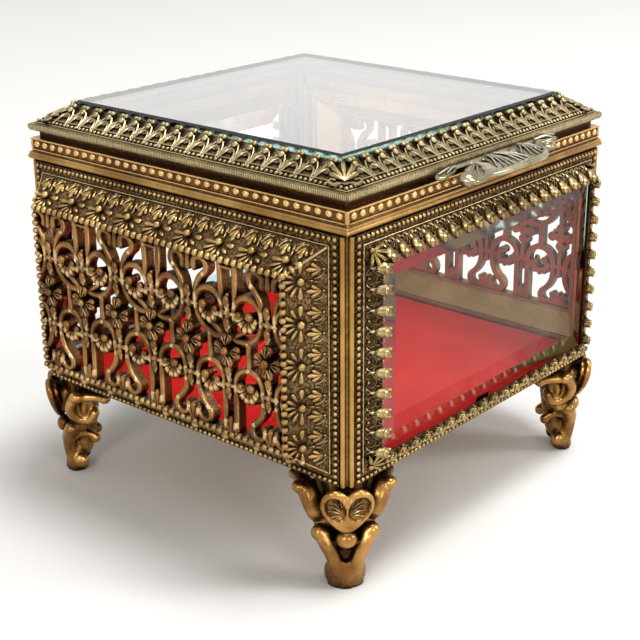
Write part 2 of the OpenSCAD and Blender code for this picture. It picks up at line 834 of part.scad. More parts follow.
lid_w = box_w - 2 * lid_setback;
lid_d = box_d - 2 * lid_setback;
lid_slope_foot = [1.4, 2];
lid_slope_top = [lid_frame_w - 0.3, lid_frame_h - leaf_t - 0.05];

module lid_frame() {
    run = lid_slope_top - lid_slope_foot;
    length = norm(run);
    color(pale_brass)
        translate([0, 0, lid_z]) {
            mitred_frame(lid_w, lid_d, lid_frame_w + 4, 0, lid_frame_h) lid_section();
            leaf_rows(lid_w, lid_d, lid_slope_foot[0], lid_slope_foot[1],
                atan2(run[1], run[0]), lid_frame_w + 1.1)
                taper_bar([0, -length * 0.56], 1.05, [0, 0.5 - length], 0.75);
        }
}

module lid_glass() {
    chamfer = 0.5;
    w = lid_w - 2 * (lid_frame_w + glass_gap);
    d = lid_d - 2 * (lid_frame_w + glass_gap);
    bed = lid_z + lid_frame_h - 3;
    color(pane_colour)
        difference() {
            translate([-w / 2, -d / 2, bed]) cube([w, d, lid_glass_t]);
            for (side = [0:3]) {
                edge = (side % 2 == 0 ? d : w) / 2;
                rotate([0, 0, 90 * side])
                    translate([0, edge - chamfer, bed + lid_glass_t])
                        rotate([-45, 0, 0]) translate([-w - d, 0, 0]) cube([2 * (w + d), 3, 3]);
            }
        }
}

// A pierced leaf spray that hangs out over the front of the lid. Its front edge is rolled from
// a ball at the left to an open curl at the right. Points on it are given seen from above, in
// the units of a spray 50 wide: x along the lid's edge and y out from it.
function on_lift(x, y) = [x * lift_w / 50, y];
lift_ball = on_lift(-18, lift_reach - 2.1);
lift_curl = on_lift(15.5, lift_reach - 4.2);

module thumb_lift() {
    roll_r = 1.15;
    roll_from = lift_ball[0] + 1.6;
    roll_to = lift_curl[0] - 3.6;
    color(pale_brass)
        translate([0, -lid_d / 2, lid_z + 0.75])
            rotate([lift_slope, 0, 0]) {
                lift_layer(-lift_t / 2, lift_t) lift_outline();
                lift_layer(0, lift_t / 2 + 0.4) lift_ribs();
                lift_layer(-lift_t / 2 - 0.3, lift_t + 0.9) arc_strip(lift_curl, 2.2, -60, 200, 1.3);
                translate([roll_from, -lift_reach + roll_r, 0])
                    rotate([0, 90, 0]) cylinder(r = roll_r, h = roll_to - roll_from);
                translate([lift_ball[0], -lift_ball[1], -0.2]) sphere(r = 2.1);
            }
}

module lift_layer(low, height) {
    translate([0, 0, low])
        mirror([0, 1, 0]) linear_extrude(height = height) children();
}

module lift_outline() {
    out = lift_reach;
    difference() {
        union() {
            translate(on_lift(-16, 0)) square(on_lift(32, 2.2));
            taper_bar(on_lift(-18, 2.6), 1.7, on_lift(-24.4, 1), 0.5);
            taper_bar(on_lift(-9.5, 2), 1.8, on_lift(-16.5, out - 3.3), 2.6);
            taper_bar(on_lift(-12, out - 4.4), 2, on_lift(-5, out - 2.8), 1.6);
            taper_bar(on_lift(-1, 0.8), 2, on_lift(-1, out - 4.6), 2.5);
            taper_bar(on_lift(-3, out - 4.4), 2.7, on_lift(6, out - 4.1), 2.7);
            taper_bar(on_lift(11.1, 2.3), 2.6, on_lift(8, out - 3.7), 2.7);
            taper_bar(on_lift(13.1, 2.1), 2.2, on_lift(12.9, out - 4), 1.9);
            taper_bar(on_lift(15.9, 2.2), 1.6, on_lift(24.4, 1), 0.5);
        }
        taper_bar(on_lift(-8.4, 2.5), 0.8, on_lift(-6.1, 2.7), 1.1);
        taper_bar(on_lift(4, 2.2), 0.8, on_lift(6.1, 2.3), 1);
        translate([-lift_w, -lift_w]) square([2 * lift_w, lift_w]);
    }
}

// Raised ribs, each along the middle of a leaf
module lift_ribs() {
    out = lift_reach;
    taper_bar(on_lift(-17, 2.4), 0.45, on_lift(-23.4, 1.2), 0.3);
    taper_bar(on_lift(-9.6, 2.4), 0.5, on_lift(-15.8, out - 4), 0.4);
    taper_bar(on_lift(-11, out - 4.6), 0.45, on_lift(-4.4, out - 3.2), 0.35);
    taper_bar(on_lift(-1, 1.2), 0.5, on_lift(-1, out - 3.4), 0.4);
    for (x = [-4.6, 2.6]) taper_bar(on_lift(-1, 3), 0.45, on_lift(x, out - 3.2), 0.35);
    for (x = [5.6, 8, 10.4]) taper_bar(on_lift(11.5, 1.6), 0.45, on_lift(x, out - 3), 0.35);
    taper_bar(on_lift(16.5, 2), 0.45, on_lift(23.2, 1.1), 0.3);
}

// ---- Parts ----

centred() base_plate();
centred() pad_board();
centred() velvet_pad();
centred() side_panel_left();
centred() side_panel_right();
centred() front_frame();
centred() back_frame();
centred() front_glass();
centred() back_glass();
centred() front_glass_clips();
centred() back_glass_clips();
centred() post_front_left();
centred() post_front_right();
centred() post_back_left();
centred() post_back_right();
centred() collar_front();
centred() collar_back();
centred() collar_left();
centred() collar_right();
centred() foot_front_left();
centred() foot_front_right();
centred() foot_back_left();
centred() foot_back_right();
centred() foot_screws();
centred() hinge_body_leaf();
centred() hinge_pin();
centred() hinge_lid_leaf();
centred() lid_frame();
centred() lid_glass();
centred() thumb_lift();
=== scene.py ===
import math

import bmesh
import bpy
from mathutils import Matrix, Vector


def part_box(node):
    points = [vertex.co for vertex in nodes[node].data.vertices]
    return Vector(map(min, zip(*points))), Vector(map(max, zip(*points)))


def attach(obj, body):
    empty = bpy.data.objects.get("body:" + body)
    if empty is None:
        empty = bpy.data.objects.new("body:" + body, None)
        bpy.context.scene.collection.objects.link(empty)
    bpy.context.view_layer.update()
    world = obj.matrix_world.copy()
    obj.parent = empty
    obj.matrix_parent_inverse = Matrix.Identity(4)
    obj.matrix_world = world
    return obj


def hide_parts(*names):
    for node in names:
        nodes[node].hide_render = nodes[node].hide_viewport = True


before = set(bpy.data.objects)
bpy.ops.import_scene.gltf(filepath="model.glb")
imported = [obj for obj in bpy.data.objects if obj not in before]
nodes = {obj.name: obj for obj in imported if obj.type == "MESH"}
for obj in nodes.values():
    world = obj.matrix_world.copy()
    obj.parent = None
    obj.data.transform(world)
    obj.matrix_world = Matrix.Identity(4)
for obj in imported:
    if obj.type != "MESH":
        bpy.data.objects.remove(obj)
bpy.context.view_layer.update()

mm = 0.001
millimetres = Matrix.Scale(mm, 4)


# Everything below is drawn in millimetres and placed by these.

def moved(x, y, z=0.0):
    return Matrix.Translation((x, y, z))


def turned(axis, degrees):
    return Matrix.Rotation(math.radians(degrees), 4, axis)


def sized(x, y, z):
    return Matrix.Diagonal((x, y, z, 1))


# Where things are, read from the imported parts.
plateLow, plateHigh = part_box("base_plate")
frameLow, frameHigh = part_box("front_frame")
lidLow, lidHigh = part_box("lid_frame")
collarLow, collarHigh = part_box("collar_left")
centreY = (plateLow.y + plateHigh.y) / 2
halfBody = 0.05
wallMid = (frameLow.z + frameHigh.z) / 2
wallSize = ((frameHigh.x - frameLow.x) / mm, (frameHigh.z - frameLow.z) / mm)
lidSize = ((lidHigh.x - lidLow.x) / mm, (lidHigh.y - lidLow.y) / mm)

wallTurns = {"front": 0, "back": 180, "left": -90, "right": 90}
sideNames = ("left", "right")
windowNames = ("front", "back")
cornerSigns = {"front_left": (-1, -1), "front_right": (1, -1), "back_left": (-1, 1), "back_right": (1, 1)}


def wallPlace(wall):
    # x along the wall, y up it, z out of its face
    out = moved(0, -halfBody) @ turned("X", 90) @ millimetres
    return moved(0, centreY, wallMid) @ turned("Z", wallTurns[wall]) @ out


def edges(place, size):
    # the four edges of a mitred frame and half their lengths: x along an edge, y in from it, z out
    inward = turned("Z", 180)
    return [(place @ turned("Z", 90 * side) @ moved(0, size[1 - side % 2] / 2) @ inward, size[side % 2] / 2)
            for side in range(4)]


def aimed(radius, angle, z):
    # a place at a radius and an angle
    turn = math.radians(angle)
    return radius * math.cos(turn), radius * math.sin(turn), z


# Shapes

def ball(bm, at, size, around=8, rings=6):
    place = moved(*at) @ sized(*size)
    bmesh.ops.create_uvsphere(bm, u_segments=around, v_segments=rings, radius=1, matrix=place)


def petal(bm, root, angle, length, width, height, narrow=0.35, groove=0.0, cup=0.0, around=8, rings=6):
    # a teardrop along x, narrow at its root, turned by angle about the root
    upright = turned("Y", 90)
    made = bmesh.ops.create_uvsphere(bm, u_segments=around, v_segments=rings, radius=1, matrix=upright)
    for vert in made["verts"]:
        along = (vert.co.x + 1) / 2
        wide = narrow + (1 - narrow) * along
        fold = groove * along * max(0.0, 1 - 3 * abs(vert.co.y))
        vert.co.y *= wide
        vert.co.z = vert.co.z * wide + cup * along * along - fold
    place = moved(*root) @ turned("Z", angle) @ sized(length / 2, width / 2, height) @ moved(1, 0)
    bmesh.ops.transform(bm, matrix=place, verts=made["verts"])


def rod(bm, start, end, r0, r1=None, sides=6):
    run = Vector(end) - Vector(start)
    middle = (Vector(start) + Vector(end)) / 2
    place = moved(*middle) @ run.to_track_quat("Z", "Y").to_matrix().to_4x4()
    bmesh.ops.create_cone(
        bm, cap_ends=True, segments=sides, radius1=r0, radius2=r0 if r1 is None else r1,
        depth=run.length, matrix=place)


def softEnds(points, radii, reach, thin):
    # a soft end past each end of a stroke: reach and thin are shares of the radius there
    first = (points[0] - points[1]).normalized()
    last = (points[-1] - points[-2]).normalized()
    r0, r1 = radii[0], radii[-1]
    path = [points[0] + first * r0 * reach[0], points[0] + first * r0 * reach[1], *points,
            points[-1] + last * r1 * reach[1], points[-1] + last * r1 * reach[0]]
    return path, [r0 * thin[0], r0 * thin[1], *radii, r1 * thin[1], r1 * thin[0]]


def stroke(points, r0, r1=None):
    # straight from point to point, and thinning evenly from one radius to the other
    r1 = r0 if r1 is None else r1
    steps = len(points) - 1
    radii = [r0 + (r1 - r0) * i / steps for i in range(steps + 1)]
    return softEnds([Vector((*p, 0.0)[:3]) for p in points], radii, (0.95, 0.6), (0.25, 0.78))


def arcStroke(centre, radius, start, stop, wide, step=20):
    steps = max(2, math.ceil(abs(stop - start) / step))
    angles = [math.radians(start + (stop - start) * i / steps) for i in range(steps + 1)]
    x, y = centre
    return stroke([(x + radius * math.cos(a), y + radius * math.sin(a)) for a in angles], wide)


def curved(points, radii, per=4, closed=False):
    # a smooth line through a few points, with a radius at each
    count = len(points)
    knots = [Vector((*p, 0.0)[:3]) for p in points]

    def knot(i):
        return knots[i % count] if closed else knots[min(max(i, 0), count - 1)]

    path, thick = [], []
    for i in range(count if closed else count - 1):
        a, b, c, d = (knot(i + k) for k in (-1, 0, 1, 2))
        for k in range(per):
            t = k / per
            path.append(0.5 * (2 * b + (c - a) * t + (2 * a - 5 * b + 4 * c - d) * t * t
                               + (3 * b - a - 3 * c + d) * t ** 3))
            thick.append(radii[i] + (radii[(i + 1) % count] - radii[i]) * t)
    path.append(knots[0] if closed else knots[-1])
    thick.append(radii[0] if closed else radii[-1])
    return path, thick


def curvedStroke(points, radii, per=4):
    return softEnds(*curved(points, radii, per), (0.9, 0.55), (0.3, 0.8))


def wires(strokes, resolution=2):
    # round wires along strokes, as a mesh
    line = bpy.data.curves.new("wires", "CURVE")
    line.dimensions = "3D"
    line.bevel_depth = 1
    line.bevel_resolution = resolution
    line.use_fill_caps = True
    for points, radii in strokes:
        spline = line.splines.new("POLY")
        spline.points.add(len(points) - 1)
        for knot, at, radius in zip(spline.points, points, radii):
            knot.co = (*at, 1)
            knot.radius = radius
    holder = bpy.data.objects.new("wires", line)
    mesh = bpy.data.meshes.new_from_object(holder)
    bpy.data.objects.remove(holder)
    bpy.data.curves.remove(line)
    return mesh


def stamp(bm, mesh, place):
    copy = mesh.copy()
    copy.transform(place)
    bm.from_mesh(copy)
    bpy.data.meshes.remove(copy)


def addWires(bm, strokes, place=Matrix(), resolution=2):
    stamp(bm, wires(strokes, resolution), place)


def addObject(name, data):
    made = bpy.data.objects.new(name, data)
    bpy.context.scene.collection.objects.link(made)
    return made


def template(draw, *extra):
    bm = bmesh.new()
    draw(bm, *extra)
    mesh = bpy.data.meshes.new("template")
    bm.to_mesh(mesh)
    bm.free()
    return mesh


def melted(mesh, voxel, smooth=2):
    # joins overlapping shapes into one casting, as a mesh
    holder = addObject("casting", mesh)
    remesh = holder.modifiers.new("remesh", "REMESH")
    remesh.mode = "VOXEL"
    remesh.voxel_size = voxel
    joined = bpy.data.meshes.new_from_object(holder.evaluated_get(bpy.context.evaluated_depsgraph_get()))
    bpy.data.objects.remove(holder)
    bpy.data.meshes.remove(mesh)
    bm = bmesh.new()
    bm.from_mesh(joined)
    for _ in range(smooth):
        bmesh.ops.smooth_vert(
            bm, verts=bm.verts, factor=0.5, use_axis_x=True, use_axis_y=True, use_axis_z=True)
    bm.to_mesh(joined)
    bm.free()
    return joined


def finishPiece(name, bm, material, body="casket", crease=50):
    bmesh.ops.recalc_face_normals(bm, faces=bm.faces)
    mesh = bpy.data.meshes.new(name)
    bm.to_mesh(mesh)
    bm.free()
    mesh.shade_smooth()
    mesh.set_sharp_from_angle(angle=math.radians(crease))
    mesh.materials.append(material)
    piece = addObject(name, mesh)
    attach(piece, body)
    print(name, len(mesh.polygons), "faces")
    return piece


def evenly(half, pitch, ends=True):
    # even places from -half to half, at about the pitch
    count = max(1, round(2 * half / pitch))
    return [-half + 2 * half * i / count for i in range(count + ends)]


plainBead = template(ball, (0, 0, 0), (1, 1, 1), 8, 5)


def beadRow(bm, place, size, inset, height, radius, pitch):
    # one bead at each corner, and the rest even between them
    for edge, half in edges(place, size):
        for along in evenly(half - inset, pitch, ends=False):
            stamp(bm, plainBead, edge @ moved(along, inset, height) @ sized(radius, radius, radius))


def lineRow(bm, place, size, inset, height, radius):
    # a raised line all round, mitred at the corners
    for edge, half in edges(place, size):
        reach = half - inset
        stamp(bm, template(rod, (-reach, 0, 0), (reach, 0, 0), radius), edge @ moved(0, inset, height))


# Finishes

def feed(tree, node, values):
    # sets sockets by name or number, each to a value or to another node's output
    for name, value in values.items():
        if isinstance(value, bpy.types.NodeSocket):
            tree.links.new(value, node.inputs[name])
        else:
            node.inputs[name].default_value = value


def makeNode(tree, kind, values, **settings):
    node = tree.nodes.new(kind)
    for name, value in settings.items():
        setattr(node, name, value)
    feed(tree, node, values)
    return node


def surface(tree, kind):
    return tree.nodes.new("ShaderNodeTexCoord").outputs[kind]


def axes(tree, kind):
    # the X, Y and Z of a place or a normal
    return makeNode(tree, "ShaderNodeSeparateXYZ", {0: surface(tree, kind)}).outputs


def mathNode(tree, operation, first, second=0.0):
    return makeNode(tree, "ShaderNodeMath", {0: first, 1: second}, operation=operation).outputs[0]


def rangeNode(tree, value, low, high):
    values = {"Value": value, "From Min": low, "From Max": high}
    return makeNode(tree, "ShaderNodeMapRange", values, interpolation_type="SMOOTHSTEP").outputs["Result"]


def mixNode(tree, factor, first, second):
    values = {0: factor, 6: first, 7: second}
    return makeNode(tree, "ShaderNodeMix", values, data_type="RGBA").outputs[2]


def noiseNode(tree, scale, detail=3.0, rough=0.55):
    values = {"Vector": surface(tree, "Object"), "Scale": scale, "Detail": detail, "Roughness": rough}
    return makeNode(tree, "ShaderNodeTexNoise", values).outputs["Fac"]


def hollowNode(tree, distance, inside):
    node = makeNode(tree, "ShaderNodeAmbientOcclusion", {"Distance": distance}, samples=6, inside=inside)
    return node.outputs["AO"]


# scales of the mottled patches, speckle, grain and stipple dots, the reach in mm of the painted edge
# highlight, and the roughness of unpolished metal
wearAndHighlight = {"patches": 90, "speckle": 900, "grain": 3200, "dots": 1700, "edge": 0.35, "unpolished": 0.62}


def makeAgedMetal():
    # rubbed relief over a dark patina: open faces are bright; hollows are dark, partly patina and partly
    # painted shade; edges brightest, partly rubbed wear and partly painted highlight
    group = bpy.data.node_groups.new("agedMetal", "ShaderNodeTree")
    for way, kind, names in (("INPUT", "Color", ("Relief", "Tarnish", "HollowShadeAndPatina", "EdgeWearAndHighlight")),
                             ("INPUT", "Float", ("Reach", "Polish", "Stipple")),
                             ("OUTPUT", "Color", ("Color",)), ("OUTPUT", "Float", ("Roughness", "Height"))):
        for name in names:
            group.interface.new_socket(name=name, in_out=way, socket_type="NodeSocket" + kind)
    takes = group.nodes.new("NodeGroupInput").outputs

    def plus(first, second):
        return mathNode(group, "ADD", first, second)

    def minus(first, second):
        return mathNode(group, "SUBTRACT", first, second)

    def times(first, second):
        return mathNode(group, "MULTIPLY", first, second)

    speckle = noiseNode(group, wearAndHighlight["speckle"], 3, 0.65)
    flecks = minus(speckle, 0.5)
    # the hollows found by ambient occlusion get the hollow colour: partly patina, partly painted shade
    hollowShadeAndPatina = hollowNode(group, takes["Reach"], False)
    # convex edges found by inside occlusion get the edge colour: partly rubbed wear, partly painted highlight
    edge = hollowNode(group, wearAndHighlight["edge"] * mm, True)

    # pits lie between the punched dots of a stippled ground
    values = {"Vector": surface(group, "Object"), "Scale": wearAndHighlight["dots"]}
    dots = makeNode(group, "ShaderNodeTexVoronoi", values).outputs["Distance"]
    pits = times(rangeNode(group, dots, 0.3, 0.75), takes["Stipple"])
    openMask = rangeNode(group, plus(hollowShadeAndPatina, times(flecks, 0.5)), 0.5, 1.0)
    openMask = times(openMask, minus(1.0, times(pits, 0.75)))
    edgeWearAndHighlightMask = times(rangeNode(group, plus(edge, times(flecks, 0.6)), 0.62, 0.2), openMask)
    worn = rangeNode(group, noiseNode(group, wearAndHighlight["patches"], 4), 0.38, 0.66)
    face = mixNode(group, worn, takes["Tarnish"], takes["Relief"])
    face = mixNode(group, times(edgeWearAndHighlightMask, 0.75), face, takes["EdgeWearAndHighlight"])
    rough = minus(wearAndHighlight["unpolished"], times(openMask, minus(wearAndHighlight["unpolished"], takes["Polish"])))
    grain = plus(noiseNode(group, wearAndHighlight["grain"], 2), times(speckle, 1.5))
    makeNode(group, "NodeGroupOutput", {
        "Color": mixNode(group, openMask, takes["HollowShadeAndPatina"], face),
        "Roughness": plus(rough, times(flecks, 0.25)),
        "Height": minus(grain, times(pits, 4.0))})
    return group


agedMetal = makeAgedMetal()

# relief and tarnish colours, the hollow colour (patina and painted shade) and the edge colour (rubbed wear
# and painted highlight); then, if unusual, the hollows' reach in mm, polish and stipple
brasses = {
    "cast": ((0.6, 0.4, 0.16), (0.34, 0.205, 0.075), (0.025, 0.013, 0.007), (0.8, 0.6, 0.32)),
    "scroll": ((0.4, 0.2, 0.066), (0.17, 0.076, 0.024), (0.016, 0.007, 0.004), (0.95, 0.68, 0.34), 2.4, 0.26),
    "post": ((0.55, 0.31, 0.085), (0.34, 0.18, 0.048), (0.02, 0.01, 0.005), (0.75, 0.52, 0.24), 2.6),
    "band": ((0.28, 0.18, 0.078), (0.18, 0.11, 0.046), (0.02, 0.01, 0.005), (0.5, 0.36, 0.17), 1.2, 0.3, 1),
    "back": ((0.24, 0.12, 0.05), (0.13, 0.06, 0.022), (0.015, 0.006, 0.003), (0.55, 0.32, 0.13), 2.2),
    # painted light: a bright gold for the inward faces of the side panels, standing in for window light
    # reflected inside the box
    "gold": ((0.72, 0.5, 0.22), (0.56, 0.37, 0.15), (0.06, 0.03, 0.012), (0.8, 0.6, 0.3)),
    # painted reflection: the velvet's red light on the inner faces of the scrollwork field
    "paintedVelvetReflection": ((0.6, 0.19, 0.09), (0.42, 0.12, 0.055), (0.05, 0.018, 0.008), (0.7, 0.36, 0.18)),
    "leaf": ((0.46, 0.32, 0.12), (0.27, 0.18, 0.065), (0.02, 0.011, 0.005), (0.85, 0.68, 0.4), 1.8, 0.27),
    "bronzed": ((0.54, 0.29, 0.085), (0.22, 0.1, 0.03), (0.018, 0.008, 0.004), (0.95, 0.7, 0.38), 3.4, 0.25),
    "lip": ((0.52, 0.31, 0.1), (0.3, 0.16, 0.05), (0.03, 0.013, 0.005), (0.85, 0.58, 0.26)),
    "channel": ((0.24, 0.1, 0.035), (0.13, 0.05, 0.018), (0.015, 0.006, 0.003), (0.5, 0.27, 0.1), 3.4),
    "bead": ((0.6, 0.34, 0.11), (0.4, 0.21, 0.065), (0.03, 0.012, 0.005), (0.9, 0.6, 0.26), 1.2, 0.24),
    "pale": ((0.5, 0.4, 0.21), (0.31, 0.235, 0.11), (0.035, 0.023, 0.011), (0.72, 0.61, 0.38)),
    "olive": ((0.47, 0.345, 0.13), (0.28, 0.195, 0.07), (0.025, 0.016, 0.008), (0.78, 0.64, 0.38),
              1.2, 0.3, 0.6),
    "slope": ((0.4, 0.31, 0.175), (0.25, 0.185, 0.1), (0.03, 0.02, 0.011), (0.66, 0.55, 0.35), 1.2, 0.3, 1),
    "silvered": ((0.5, 0.44, 0.3), (0.25, 0.205, 0.12), (0.02, 0.014, 0.008), (0.9, 0.85, 0.73), 2.2, 0.26),
    "plain": ((0.5, 0.35, 0.16), (0.34, 0.22, 0.1), (0.05, 0.025, 0.012), (0.75, 0.56, 0.3)),
}


def newMaterial(name):
    material = bpy.data.materials.new(name)
    material.use_nodes = True
    tree = material.node_tree
    tree.nodes.clear()
    shader = tree.nodes.new("ShaderNodeBsdfPrincipled")
    makeNode(tree, "ShaderNodeOutputMaterial", {"Surface": shader.outputs[0]})
    return material, tree, shader


def bumped(tree, shader, height, strength, distance):
    values = {"Strength": strength, "Distance": distance, "Height": height}
    feed(tree, shader, {"Normal": makeNode(tree, "ShaderNodeBump", values).outputs[0]})


def agedNode(tree, relief, tarnish, hollowShadeAndPatina, edge, reach=1.2, polish=0.3, stipple=0.0):
    values = {"Relief": (*relief, 1), "Tarnish": (*tarnish, 1), "HollowShadeAndPatina": (*hollowShadeAndPatina, 1), "EdgeWearAndHighlight": (*edge, 1),
              "Reach": reach * mm, "Polish": polish, "Stipple": stipple}
    return makeNode(tree, "ShaderNodeGroup", values, node_tree=agedMetal).outputs


def brassFinish(ground, *zones, name=None):
    # one brass, or several on one casting by where the surface lies; a dull zone is less metallic
    material, tree, shader = newMaterial(name or ground + "Brass")
    age = agedNode(tree, *brasses[ground])
    colour, metal = age["Color"], 1.0
    for brass, makeMask, dull in zones:
        mask = makeMask(tree)
        colour = mixNode(tree, mask, colour, agedNode(tree, *brasses[brass])["Color"])
        if dull:
            metal = mathNode(tree, "SUBTRACT", 1.0, mathNode(tree, "MULTIPLY", mask, dull))
    feed(tree, shader, {"Base Color": colour, "Metallic": metal, "Roughness": age["Roughness"]})
    bumped(tree, shader, age["Height"], 0.35, 0.00006)
    return material


# millimetres, but for inward, which is how squarely a face looks into the box
zoneAt = {"field half": (39.1, 19.7), "inward": -0.25, "channel": 4.05, "channel half": 1.15,
          "gap": 5.6, "lid edge": 2.1}


def within(tree, value, middle, half):
    # 1 where a value lies within half of the middle
    away = mathNode(tree, "ABSOLUTE", mathNode(tree, "SUBTRACT", value, middle))
    return mathNode(tree, "LESS_THAN", away, half)


def fieldMask(tree):
    # the scrollwork field of a side panel
    place = axes(tree, "Object")
    wide, high = zoneAt["field half"]
    along = within(tree, place["Y"], centreY, wide * mm)
    return mathNode(tree, "MULTIPLY", along, within(tree, place["Z"], wallMid, high * mm))


def insideMask(tree):
    # the faces of a side panel that look into the box
    side = mathNode(tree, "SIGN", axes(tree, "Object")["X"])
    facing = mathNode(tree, "MULTIPLY", axes(tree, "Normal")["X"], side)
    return mathNode(tree, "LESS_THAN", facing, zoneAt["inward"])


def insideFieldMask(tree):
    return mathNode(tree, "MULTIPLY", insideMask(tree), fieldMask(tree))


def channelAndGapShadowMask(tree):
    # the channel behind the collar's bead row, painted dark red-brown, and the upstand in the gap under the
    # lid, painted dark as shadow
    height = axes(tree, "Object")["Z"]
    # painted shadow: everything above this height, the upstand in the gap under the lid
    gap = mathNode(tree, "GREATER_THAN", height, collarLow.z + zoneAt["gap"] * mm)
    channel = within(tree, height, collarLow.z + zoneAt["channel"] * mm, zoneAt["channel half"] * mm)
    return mathNode(tree, "MAXIMUM", channel, gap)


def slopeMask(tree):
    # the sloping part of the lid frame, above its rounded edge
    return mathNode(tree, "GREATER_THAN", axes(tree, "Object")["Z"], lidLow.z + zoneAt["lid edge"] * mm)


castBrass = brassFinish("cast")
scrollBrass = brassFinish("scroll")
postBrass = brassFinish("post")
leafBrass = brassFinish("leaf")
bronzedBrass = brassFinish("bronzed")
beadGold = brassFinish("bead", name="beadGold")
paleBrass = brassFinish("pale")
silveredBrass = brassFinish("silvered")
plainBrass = brassFinish("plain")
windowGround = brassFinish("band", name="windowGround")
# the faces that look into the box are painted a brighter, less metallic gold as painted reflected light
sideGround = brassFinish("band", ("back", fieldMask, 0), ("gold", insideMask, 0.95),
                         # inside the scrollwork field the inward faces are painted red-brown as the velvet's
                         # reflected light
                         ("paintedVelvetReflection", insideFieldMask, 0.6), name="sideGround")
# the collar's channel is painted dark red-brown, and the upstand under the lid is painted dark as shadow
collarBrass = brassFinish("lip", ("channel", channelAndGapShadowMask, 0), name="collarBrass")
lidBrass = brassFinish("olive", ("slope", slopeMask, 0), name="lidBrass")


def makeGlass(name, colour, rough, ior):
    material, tree, shader = newMaterial(name)
    feed(tree, shader, {"Base Color": (*colour, 1), "Transmission Weight": 1, "Roughness": rough, "IOR": ior})
    return material


clearGlass = makeGlass("clearGlass", (0.97, 0.99, 0.98), 0.0, 1.2)
lidGlass = makeGlass("lidGlass", (0.96, 0.985, 0.975), 0.0, 1.6)
cutGlass = makeGlass("cutGlass", (0.42, 0.68, 0.6), 0.08, 1.6)


def makeVelvet():
    material, tree, shader = newMaterial("velvetPile")
    pile = noiseNode(tree, 2600, 2, 0.7)
    brushed = noiseNode(tree, 60, 3, 0.6)
    soft = mathNode(tree, "MULTIPLY", brushed, 0.4)
    mask = mathNode(tree, "ADD", mathNode(tree, "MULTIPLY", pile, 0.6), soft)
    colour = mixNode(tree, rangeNode(tree, mask, 0.35, 0.65), (0.78, 0.012, 0.012, 1), (0.97, 0.04, 0.03, 1))
    feed(tree, shader, {
        "Base Color": colour, "Roughness": 0.9, "Specular IOR Level": 0.0,
        "Sheen Weight": 0.08, "Sheen Roughness": 0.5, "Sheen Tint": (1, 0.12, 0.1, 1)})
    bumped(tree, shader, pile, 0.6, 0.0002)
    return material


def makeCard():
    material, tree, shader = newMaterial("pressedBoard")
    fibre = noiseNode(tree, 700, 5, 0.7)
    colour = mixNode(tree, rangeNode(tree, fibre, 0.35, 0.65), (0.3, 0.22, 0.13, 1), (0.48, 0.37, 0.24, 1))
    feed(tree, shader, {"Base Color": colour, "Roughness": 0.85})
    bumped(tree, shader, fibre, 0.3, 0.0001)
    return material


velvetPile = makeVelvet()
pressedBoard = makeCard()

nodeFinishes = {
    sideGround: ["side_panel_" + side for side in sideNames],
    windowGround: ["front_frame", "back_frame"],
    postBrass: ["post_" + corner for corner in cornerSigns],
    collarBrass: ["collar_" + wall for wall in wallTurns],
    bronzedBrass: ["foot_" + corner for corner in cornerSigns],
    lidBrass: ["lid_frame"],
    silveredBrass: ["thumb_lift"],
    plainBrass: ["base_plate", "front_glass_clips", "back_glass_clips", "foot_screws",
                 "hinge_body_leaf", "hinge_pin", "hinge_lid_leaf"],
    clearGlass: ["front_glass", "back_glass"],
    lidGlass: ["lid_glass"],
    velvetPile: ["velvet_pad"],
    pressedBoard: ["pad_board"],
}
for finish, names in nodeFinishes.items():
    for name in names:
        nodes[name].data.materials.clear()
        nodes[name].data.materials.append(finish)
print("finishes on", len(nodes), "parts")


# Beads and lines round each wall

# inset, height and radius, and the pitch of the beads
wallStrip = {"beads": (0.8, 0.05, 0.62, 1.47), "line": (2.4, 0.12, 0.22)}

for wall in wallTurns:
    bm = bmesh.new()
    beadRow(bm, wallPlace(wall), wallSize, *wallStrip["beads"])
    lineRow(bm, wallPlace(wall), wallSize, *wallStrip["line"])
    finishPiece("strip_beads_" + wall, bm, castBrass)
print("strip beads done")


# Band round each scrollwork panel

sideBand = {"start": 2.4, "run": 5.95, "rise": 8.0, "corner room": 3.4, "daisy at": 6.1, "daisy pitch": 9.1,
            "palmette at": 0.35, "scallop at": 0.4, "scallop": 0.9, "beads": (0.85, 1.9),
            "mitre": (0.22, 0.3)}
bandSlope = math.degrees(math.atan2(sideBand["rise"], sideBand["run"]))


def drawDaisy(bm):
    # half a rosette: seven club-shaped petals round a ball, and a short one towards the edge
    ball(bm, (0, 0, 0.6), (0.95, 0.95, 0.9), around=10, rings=7)
    for angle, length, width in ((0, 3.0, 2.0), (180, 3.0, 2.0), (33, 2.8, 1.5), (147, 2.8, 1.5),
                                 (62, 2.7, 1.45), (118, 2.7, 1.45), (90, 2.7, 1.5), (270, 1.7, 0.8)):
        petal(bm, aimed(1.2, angle, 0.05), angle, length, width, 0.8, narrow=0.22, cup=0.1)


def drawPalmette(bm):
    # a three-lobed bud that points towards +y, with a thin curl to each side of its root
    petal(bm, (0, 1.0, 0.05), 90, 3.8, 1.6, 0.9)
    ball(bm, (0, 0.8, 0.1), (0.32, 0.4, 0.35))
    for side in (-1, 1):
        petal(bm, (side * 0.1, 1.3, 0.05), 90 - side * 27, 2.6, 1.45, 0.75)
        curl = [(side * x, y, z) for x, y, z in ((0.1, 0.55, 0.05), (1.1, 0.85, 0.08), (1.75, 1.7, 0.1),
                                                 (2.0, 2.7, 0.15))]
        addWires(bm, [curvedStroke(curl, [0.17, 0.17, 0.2, 0.28], per=2)], resolution=0)


daisy = template(drawDaisy)
palmette = template(drawPalmette)
scallop = wires([arcStroke((0, 0.1), sideBand["scallop"], 15, 165, 0.17, step=30)], resolution=0)

